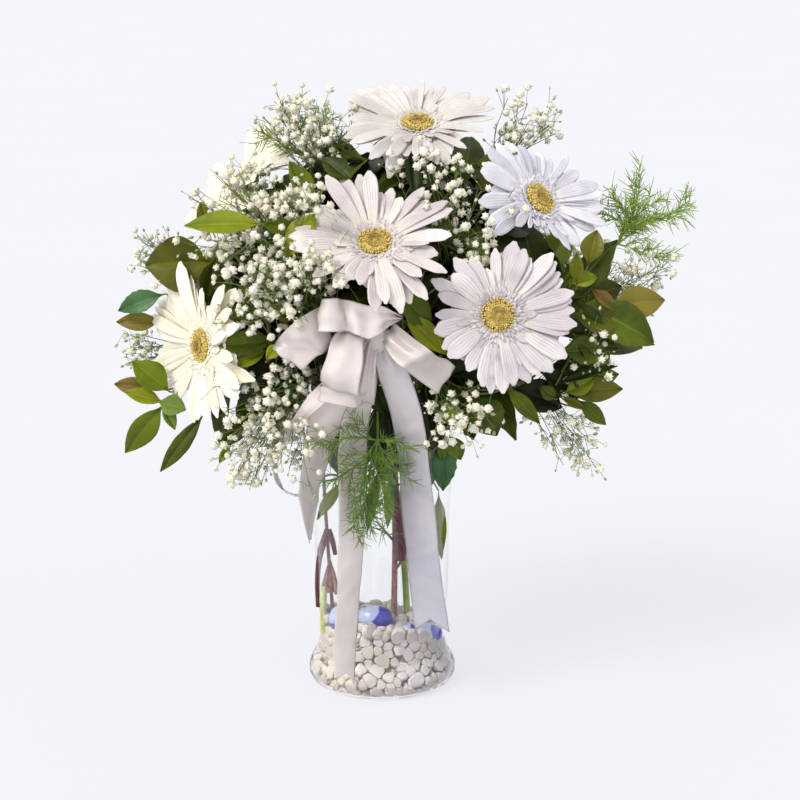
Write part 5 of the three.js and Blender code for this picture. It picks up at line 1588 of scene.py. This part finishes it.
# ------------------------------------------------------------------ asparagus fern
FERNS = {
    "right": ([(108, -10, 276), (164, -12, 322)], [
        [(170, -8, 340), (160, -6, 356)], [(176, -4, 344), (180, 0, 368)],
        [(174, -8, 338), (192, -4, 352)], [(166, -14, 336), (152, -12, 344)],
        [(180, -12, 334), (198, -12, 342), (213, -10, 352)], [(178, -20, 318), (194, -26, 312)]]),
    "top_left": ([(-33, 8, 305), (-50, 6, 380)], [
        [(-56, 8, 396), (-62, 10, 412)], [(-44, 4, 396), (-38, 0, 410)], [(-66, 4, 388), (-82, 2, 398)],
        [(-40, 0, 386), (-24, -4, 390)]]),
    "front": ([(-2, -55, 240), (-2, -67, 228), (-2, -73, 210), (-2, -82, 199)], [
        [(-18, -90, 203), (-40, -90, 197)], [(-6, -83, 170), (-20, -79, 136)],
        [(5, -84, 176), (3, -82, 152)], [(8, -86, 200), (17, -90, 194)],
        [(-14, -86, 184), (-32, -84, 172)], [(-10, -84, 160), (-6, -80, 134)]]),
}


FERN_ARM = (0.0007, 0.00035)    # first and last radius
FERN_TWIG = (0.00032, 0.0002)
FERN_NEEDLE = (0.00036, 0.00013)


def make_fern(name):
    """Arms with side branches, each set with whorls of fine needles."""
    stalk, arms = FERNS[name]
    draw = random.Random(f"fern {name}")
    node = f"fern_spray_{name}"
    stalk = [at(*point) for point in stalk]
    main = smooth_way([*neck_route(node), *stalk])
    routes = [(main(np.linspace(0, 1, 24)), 0.001, 0.0009)]
    twigs = []
    for arm in arms:
        line = smooth_way([stalk[-1], *[at(*point) for point in arm]])
        routes.append((line(np.linspace(0, 1, 9)), *FERN_ARM))
        twigs.append((line, way_length(line)))
    low, high = np.array(cad_low) + 0.002, np.array(cad_high) - 0.002
    for line, long in list(twigs):
        for share in np.linspace(0.15, 0.94, int(long / 0.006)):
            start = line(share)[0]
            ahead = unit(line(min(1.0, share + 0.05))[0] - line(share - 0.05)[0])
            aim = unit(scattered(draw))
            aim = unit(aim - ahead * aim.dot(ahead) + ahead * 0.75)
            size = draw.uniform(0.013, 0.024) * (1.15 - 0.6 * share)
            end = np.clip(start + aim * size, low, high)
            twig = smooth_way([start, (start + end) / 2 + UP * 0.001, end])
            routes.append((twig(np.linspace(0, 1, 4)), *FERN_TWIG))
            twigs.append((twig, size))
    for line, long in twigs:
        for share in np.linspace(0.1, 1.0, max(4, int(long / 0.0019))):
            start = line(share)[0]
            ahead = unit(line(min(1.0, share + 0.1))[0] - line(max(0.0, share - 0.1))[0])
            for _ in range(2):
                aim = unit(scattered(draw))
                aim = unit(aim - ahead * aim.dot(ahead) + ahead * draw.uniform(0.3, 1.1))
                end = np.clip(start + aim * draw.uniform(0.006, 0.0125), low, high)
                routes.append(([start, (start * 0.5 + end * 0.5), end], *FERN_NEEDLE))
    in_shade = 0.9 if name == "front" else 0.0
    one_piece(f"fern_{name}", [tubes(routes, FERN, 0, in_shade)], "fern", node)


# ------------------------------------------------------------------ baby's breath
# fork of the spray, middle of its cloud and its half size (mm), heads, share of open florets
SPRAYS = {
    "top_left": ((-38, -2, 380), (-50, -6, 400), (36, 22, 30), 320, 0.6),
    "top_right": ((84, 4, 378), (98, -2, 402), (26, 16, 22), 150, 0.5),
    "left_high": ((-70, -60, 336), (-84, -62, 352), (50, 34, 30), 500, 0.66),
    "left_middle": ((-58, -78, 300), (-66, -100, 312), (50, 24, 32), 440, 0.68),
    "left_tip": ((-126, -40, 312), (-150, -42, 320), (20, 14, 16), 80, 0.4),
    "far_left": ((-142, 14, 244), (-172, -8, 250), (15, 12, 15), 60, 0.25),
    "lower_left": ((-62, -78, 226), (-80, -92, 204), (38, 16, 40), 420, 0.55),
    "by_tail": ((42, -82, 236), (56, -104, 218), (24, 14, 24), 110, 0.72),
    "lower_right": ((116, -44, 222), (126, -70, 198), (24, 16, 24), 110, 0.4),
    "right": ((158, -34, 278), (184, -26, 298), (28, 16, 28), 160, 0.4),
    "middle_right": ((54, -58, 328), (60, -80, 350), (34, 20, 34), 190, 0.7),
    "back_left": ((-56, 84, 318), (-72, 106, 332), (46, 20, 38), 190, 0.6),
    "back_right": ((104, 76, 300), (116, 90, 308), (40, 24, 38), 170, 0.6),
}
# Smaller clouds that the same sprays send between the flowers: middle in pixels of the
# photograph and its depth, half size (mm), heads.
SIDE_CLOUDS = {
    "middle_right": [(428, 168, -52, (26, 12, 9), 70), (482, 240, -86, (8, 8, 16), 30)],
    "lower_right": [(600, 362, -80, (8, 8, 28), 60)],
    "left_middle": [(296, 376, -92, (16, 8, 12), 50), (236, 314, -88, (16, 10, 12), 30),
                    (318, 268, -130, (13, 4, 11), 60)],
    "left_high": [(316, 196, -112, (12, 6, 14), 40), (248, 176, 2, (10, 5, 11), 90)],
}


SPRAY_BRANCH = (0.00036, 0.00024)
SPRAY_HAIR = (0.0002, 0.00016)


def hides_upper_left(spot):
    """True for a place in front of the upper left flower, as the camera sees it."""
    way = spot - EYE
    shown = EYE + way * (0.032 - EYE[1]) / way[1]
    off = (shown - at(-97, 32, 368)) / at(38, 1, 31)
    return spot[1] < 0.03 and math.hypot(off[0], off[2]) < 1 and not (off[0] > 0.15 and off[2] < -0.05)


def make_spray(name):
    """A stem that forks into twigs, each with its own little cloud of florets and buds."""
    fork, cloud, half, heads, share_open = SPRAYS[name]
    draw = random.Random(f"spray {name}")
    node = f"babys_breath_{name}"
    fork = at(*fork)
    knee = fork * 0.62
    knee[2] = max(OVER_RIM, VASE_HEIGHT + (fork[2] - VASE_HEIGHT) * 0.5)
    main = smooth_way([*neck_route(node), knee, fork])
    routes = [(main(np.linspace(0, 1, 20)), SPRAY_STEM, SPRAY_STEM * 0.8)]
    low, high = np.array(cad_low) + 0.004, np.array(cad_high) - 0.004
    parts = []

    def add_head(branch, knot, start, hiding):
        root = branch(draw.uniform(0.72, 1.0))[0]
        aim = unit(unit(knot - start) * 0.7 + scattered(draw))
        end = np.clip(root + aim * draw.uniform(0.006, 0.014), low, high)
        if not hiding and crowds_bloom(end[None, :]) and draw.random() < 0.85:
            return
        on_bow = end[1] < -0.088 and abs(end[0] + 0.004) < 0.046 and 0.236 < end[2] < 0.304
        if on_bow or (not hiding and hides_upper_left(end) and draw.random() < 0.9):
            return
        routes.append(([root, (root + end) / 2 + UP * 0.0006, end], *SPRAY_HAIR))
        if draw.random() < share_open:
            size = draw.uniform(0.5, 1.06)
            parts.append(set_down(draw.choice(floret_blanks), end + aim * FLORET * 0.3 * size, aim, size,
                                  draw.uniform(0, 6), draw.uniform(0.0, 0.8)))
        else:
            size = draw.uniform(0.7, 1.6)
            parts.append(set_down(bud_blank, end + aim * 0.0008 * size, aim, size,
                                  draw.uniform(0, 6), draw.uniform(0, 0.9)))

    clouds = [(at(*cloud), at(*half), heads, False)]
    for x, y, depth, sides, count in SIDE_CLOUDS.get(name, []):
        clouds.append((seen_at(x, y, depth), at(*sides), count, True))
    for cloud, half, left, hiding in clouds:
        while left > 0:
            knot = np.clip(cloud + half * np.clip(scattered(draw, 0.5), -0.85, 0.85), low, high)
            start = main(draw.uniform(0.8, 1.0))[0]
            middle = (start + knot) / 2 + scattered(draw) * 0.003
            branch = smooth_way([start, middle, knot])
            routes.append((branch(np.linspace(0, 1, 6)), *SPRAY_BRANCH))
            group = draw.randint(4, 7)
            for _ in range(group):
                add_head(branch, knot, start, hiding)
            left -= group + 1
    one_piece(f"breath_{name}_florets", parts, "floret", node)
    one_piece(f"breath_{name}_twigs", [tubes(routes, TWIG, 0)], "stem", node)


# ------------------------------------------------------------------ ribbon bow
KNOT = (-2, -97, 272)
# Each strip of satin by its two edges, in mm: rows of (one edge, other edge) along its way.
LOOPS = {
    "centre": [
        ((-20, -101, 282), (-10, -101, 280)), ((-30, -108, 276), (-11, -108, 272)),
        ((-35, -112, 262), (-11, -112, 258)), ((-39, -113, 250), (-14, -113, 241)),
        ((-39, -109, 245), (-14, -109, 235)), ((-35, -104, 246), (-10, -104, 235)),
        ((-23, -100, 264), (-6, -100, 262)), ((-12, -98, 278), (-4, -98, 278))],
    "lower": [
        ((-10, -99, 274), (-1, -99, 274)), ((-16, -104, 256), (-3, -103, 254)),
        ((-21, -104, 238), (-4, -100, 233)), ((-21, -99, 232), (-4, -95, 227)),
        ((-17, -94, 242), (-2, -91, 240)), ((-8, -94, 268), (0, -94, 268))],
}
# The loops that show in full, by the pixels of the photograph: (x, y, depth in mm) of both edges.
SEEN_LOOPS = {
    "upper": [
        ((399.8, 316, -101), (399.5, 319, -101)), ((391, 310.5, -106), (390, 325, -105)),
        ((381, 305.5, -109), (381, 332.5, -109)), ((366, 305, -110), (369, 339, -112)),
        ((352, 301, -114), (357, 335, -116)), ((343, 299.5, -109), (347, 331.5, -110)),
        ((336, 298, -116), (336, 332, -117)), ((328, 298.5, -118), (326, 332, -119)),
        ((322.3, 299, -113), (317, 331.4, -114)), ((325, 300, -107), (321, 331, -107)),
        ((340, 301, -102), (338, 331, -102)), ((362, 305, -98), (364, 332, -98))],
    "left": [
        ((322, 306, -101), (332, 342, -101)), ((312, 311, -106), (328, 350, -105)),
        ((298, 320, -112), (324, 354, -110)), ((285, 331, -113), (321, 355, -111)),
        ((276, 342, -110), (316, 357, -111)), ((273, 350, -114), (303, 369, -112)),
        ((278, 349, -106), (305, 363, -106)), ((297, 332, -98), (318, 351, -98)),
        ((322, 308, -96), (330, 338, -96))],
    "right": [
        ((393, 322, -100), (380, 335, -100)), ((402, 329, -107), (384, 346, -106)),
        ((416, 340, -114), (392, 359, -112)), ((430, 350, -119), (402, 368, -117)),
        ((437, 356, -113), (410, 374, -111)), ((449, 361, -107), (424, 384, -104)),
        ((455.5, 368, -102), (438.5, 393.5, -100)), ((447, 366, -98), (430, 388, -96)),
        ((425, 352, -96), (404, 366, -95)), ((395, 332, -95), (384, 344, -95))],
    "fold": [
        ((321, 384, -101), (320, 396, -101)), ((318.5, 386, -105), (318.5, 400, -105)),
        ((330, 387, -108), (330, 403, -108)), ((343, 388, -108), (343, 406, -108)),
        ((355, 389, -106), (356, 408, -106)), ((363, 388, -101), (363, 404, -101))],
}
# Painted shade of each loop, for how the light falls on it: its share of the dark colour.
LOOP_PAINTED_SHADES = {"upper": 0.0, "left": 0.75, "centre": 0.35, "lower": 0.8, "right": 0.6, "fold": 0.5}
TAILS = {
    "left": [
        ((-12, -98, 270), (-4, -98, 268)), ((-34, -99, 246), (-12, -97, 240)),
        ((-46, -92, 224), (-24, -91, 220)), ((-50, -87, 206), (-28, -82, 204)),
        ((-52, -84, 189), (-34, -72, 187)), ((-55, -82, 163), (-42, -62, 161)),
        ((-53, -79, 142), (-45, -58, 140)), ((-50, -73, 124), (-48, -62, 128))],
    "centre": [
        ((-12, -98, 270), (-4, -98, 268)), ((-23, -96, 242), (-3, -94, 238)),
        ((-26, -90, 221), (-6, -84, 221)), ((-28, -82, 198), (-9, -70, 198)),
        ((-29, -75, 160), (-11, -60, 160)), ((-29, -71, 131), (-12, -56, 131)),
        ((-31, -71, 80), (-15, -54, 80)), ((-33, -75, 45), (-18, -57, 45)),
        ((-33, -78, 28), (-19, -60, 17))],
    "right": [
        ((-4, -98, 272), (5, -98, 272)), ((-3, -97, 252), (17, -97, 252)),
        ((6, -86, 221), (27, -92, 223)), ((11, -73, 192), (32, -83, 190)),
        ((14, -63, 153), (36, -75, 153)), ((17, -58, 116), (40, -70, 116)),
        ((21, -56, 80), (44, -67, 80)), ((24, -56, 56), (48, -65, 58))],
}
TAIL_CUTS = {"left": 0.0, "centre": 0.006, "right": 0.009}
CURL = [
    ((-14, -99, 260), (-12, -99, 248)), ((-28, -100, 251), (-22, -100, 239)),
    ((-44, -98, 237), (-39, -98, 226)), ((-60, -94, 214), (-56, -88, 207)),
    ((-70, -88, 192), (-68, -80, 188)), ((-72, -84, 176), (-71, -74, 175)),
    ((-67, -80, 164), (-65, -71, 162)), ((-56, -76, 158), (-55, -68, 155))]
STRAND = [((-10, -92, 268), (0, -92, 268)), ((-16, -72, 248), (-6, -68, 248)),
          ((-19, -60, 234), (-9, -58, 234)), ((-19, -57, 221), (-9, -56, 221))]


CUT_SHARE = 0.3                 # share of a strip that its cut end draws in
STRIP_STEP = 0.0018             # length of a face along a strip
GATHER_REACH = 0.017            # how far the folds of a gathered end run


def ripples(name, across, share, long):
    """How far the spots of a strip stand out of it: a gentle wave, folds where it is gathered,
    and creases that run across it."""
    draw = random.Random(name)
    ripple = np.sin(share * long * 95 + 3 * across + len(name)) * 0.0005
    gather = np.exp(-share * long / GATHER_REACH)
    if "fold" in name:
        gather = gather * 0.2
    elif "loop" in name:
        gather = gather + np.exp((share - 1) * long / GATHER_REACH)
        waves = 0.0003 if name == "bow_loop_upper" else 0.0006
        ripple = ripple + np.sin(across * 8.5 + share * 5 + draw.uniform(0, 6)) * waves
    ripple = ripple + np.sin(across * math.tau * 1.7 + draw.uniform(0, 6)) * 0.0015 * gather
    for _ in range(int(long / 0.02)):
        crease = share * long - draw.uniform(0.01, long) + (across - 0.5) * draw.uniform(-0.022, 0.022)
        ripple = ripple + draw.uniform(-0.0011, 0.0011) * np.exp(-(crease / draw.uniform(0.0025, 0.006)) ** 2)
    return ripple


def make_ribbon(name, rows, bend=0.0, cut=0.0, painted_shades=(0.3, 0.3), finish=SATIN):
    """A strip of satin between its two edges; bend hollows it, cut notches its end, and the painted
    shade of its two ends is given as a pair."""
    edges = np.array(rows, float).reshape(len(rows), 6) * 0.001
    both = smooth_way(edges)
    middle = (edges[:, :3] + edges[:, 3:]) / 2
    long = float(np.linalg.norm(np.diff(middle, axis=0), axis=1).sum())
    steps = max(14, int(long / STRIP_STEP))
    deselect()
    bpy.ops.mesh.primitive_grid_add(x_subdivisions=16, y_subdivisions=steps, size=1.0)
    strip = bpy.context.object
    spots = read_points(strip.data)
    across, share = spots[:, 0] + 0.5, spots[:, 1] + 0.5
    past = np.clip((share - 1 + CUT_SHARE) / CUT_SHARE, 0.0, 1.0)
    share = share - past * (1 - 2 * np.abs(spots[:, 0])) * cut / long
    pair = both(share)
    near, far = pair[:, :3], pair[:, 3:]
    ahead = both(np.minimum(share + 0.01, 1)) - both(np.maximum(share - 0.01, 0))
    ahead = unit(ahead[:, :3] + ahead[:, 3:])
    wide = np.linalg.norm(far - near, axis=1)
    rise = unit(np.cross(ahead, far - near))
    pinch = np.clip((RIBBON_WIDTH * 0.8 - wide) / RIBBON_WIDTH, 0.0, 1.0)
    if "curl" in name or "fold" in name:
        pinch = pinch * 0.1
    hollow = bend * 4 * across * (1 - across) + np.cos(across * math.tau * 2) * 0.0024 * pinch
    out = hollow + ripples(name, across, share, long)
    write_points(strip.data, near + (far - near) * across[:, None] + rise * out[:, None])
    add_modifier(strip, "SOLIDIFY", thickness=SATIN_THICK, offset=0.0)
    strip.data.materials.append(finish)
    values = np.resize(painted_shades[0] + (painted_shades[1] - painted_shades[0]) * share, len(strip.data.vertices))
    values = values.astype(np.float32)      # the same on the front and the back
    strip.data.attributes.new("tint", "FLOAT", "POINT").data.foreach_set("value", values)
    shade(strip)
    one_piece(name, [strip], "ribbon", "ribbon_bow")


def make_bow():
    loops = dict(LOOPS)
    for name, rows in SEEN_LOOPS.items():
        loops[name] = [(seen_at(*one) * 1000, seen_at(*other) * 1000) for one, other in rows]
    for name, rows in loops.items():
        make_ribbon(f"bow_loop_{name}", rows, 0.0008, painted_shades=(LOOP_PAINTED_SHADES[name], LOOP_PAINTED_SHADES[name]))
    for name, rows in TAILS.items():
        finish = PAINTED_SHADE_SATIN if name == "right" else SATIN
        # painted shade along the strip: the right tail darkens from its top down, the others lighten
        painted_shades = (0.0, 1.0) if name == "right" else (0.6, 0.3)
        make_ribbon(f"bow_tail_{name}", rows, 0.001, TAIL_CUTS[name], painted_shades, finish)
    make_ribbon("bow_curl", CURL, 0.0, 0.0)
    make_ribbon("bow_strand", STRAND, 0.0, 0.0)
    deselect()
    bpy.ops.mesh.primitive_uv_sphere_add(segments=24, ring_count=16, radius=1.0)
    ball = bpy.context.object
    edit()
    bpy.ops.mesh.select_all(action="SELECT")
    bpy.ops.transform.resize(value=(0.0090, 0.0062, 0.0105))
    bpy.ops.transform.translate(value=at(*KNOT))
    bpy.ops.object.mode_set(mode="OBJECT")
    ball.data.materials.append(SATIN)
    shade(ball)
    one_piece("bow_knot", [ball], "ribbon", "ribbon_bow")


# ------------------------------------------------------------------ putting it together
make_vase()
make_stones()
make_bed()
for bloom_name in BLOOMS:
    make_gerbera(bloom_name)
extra_leaves = shell_leaves()
for sprig_name in SPRIGS:
    make_sprig(sprig_name, extra_leaves[sprig_name])
for fern_name in FERNS:
    make_fern(fern_name)
for spray_name in SPRAYS:
    make_spray(spray_name)
make_bow()
for blank in blanks:
    bpy.data.objects.remove(blank)
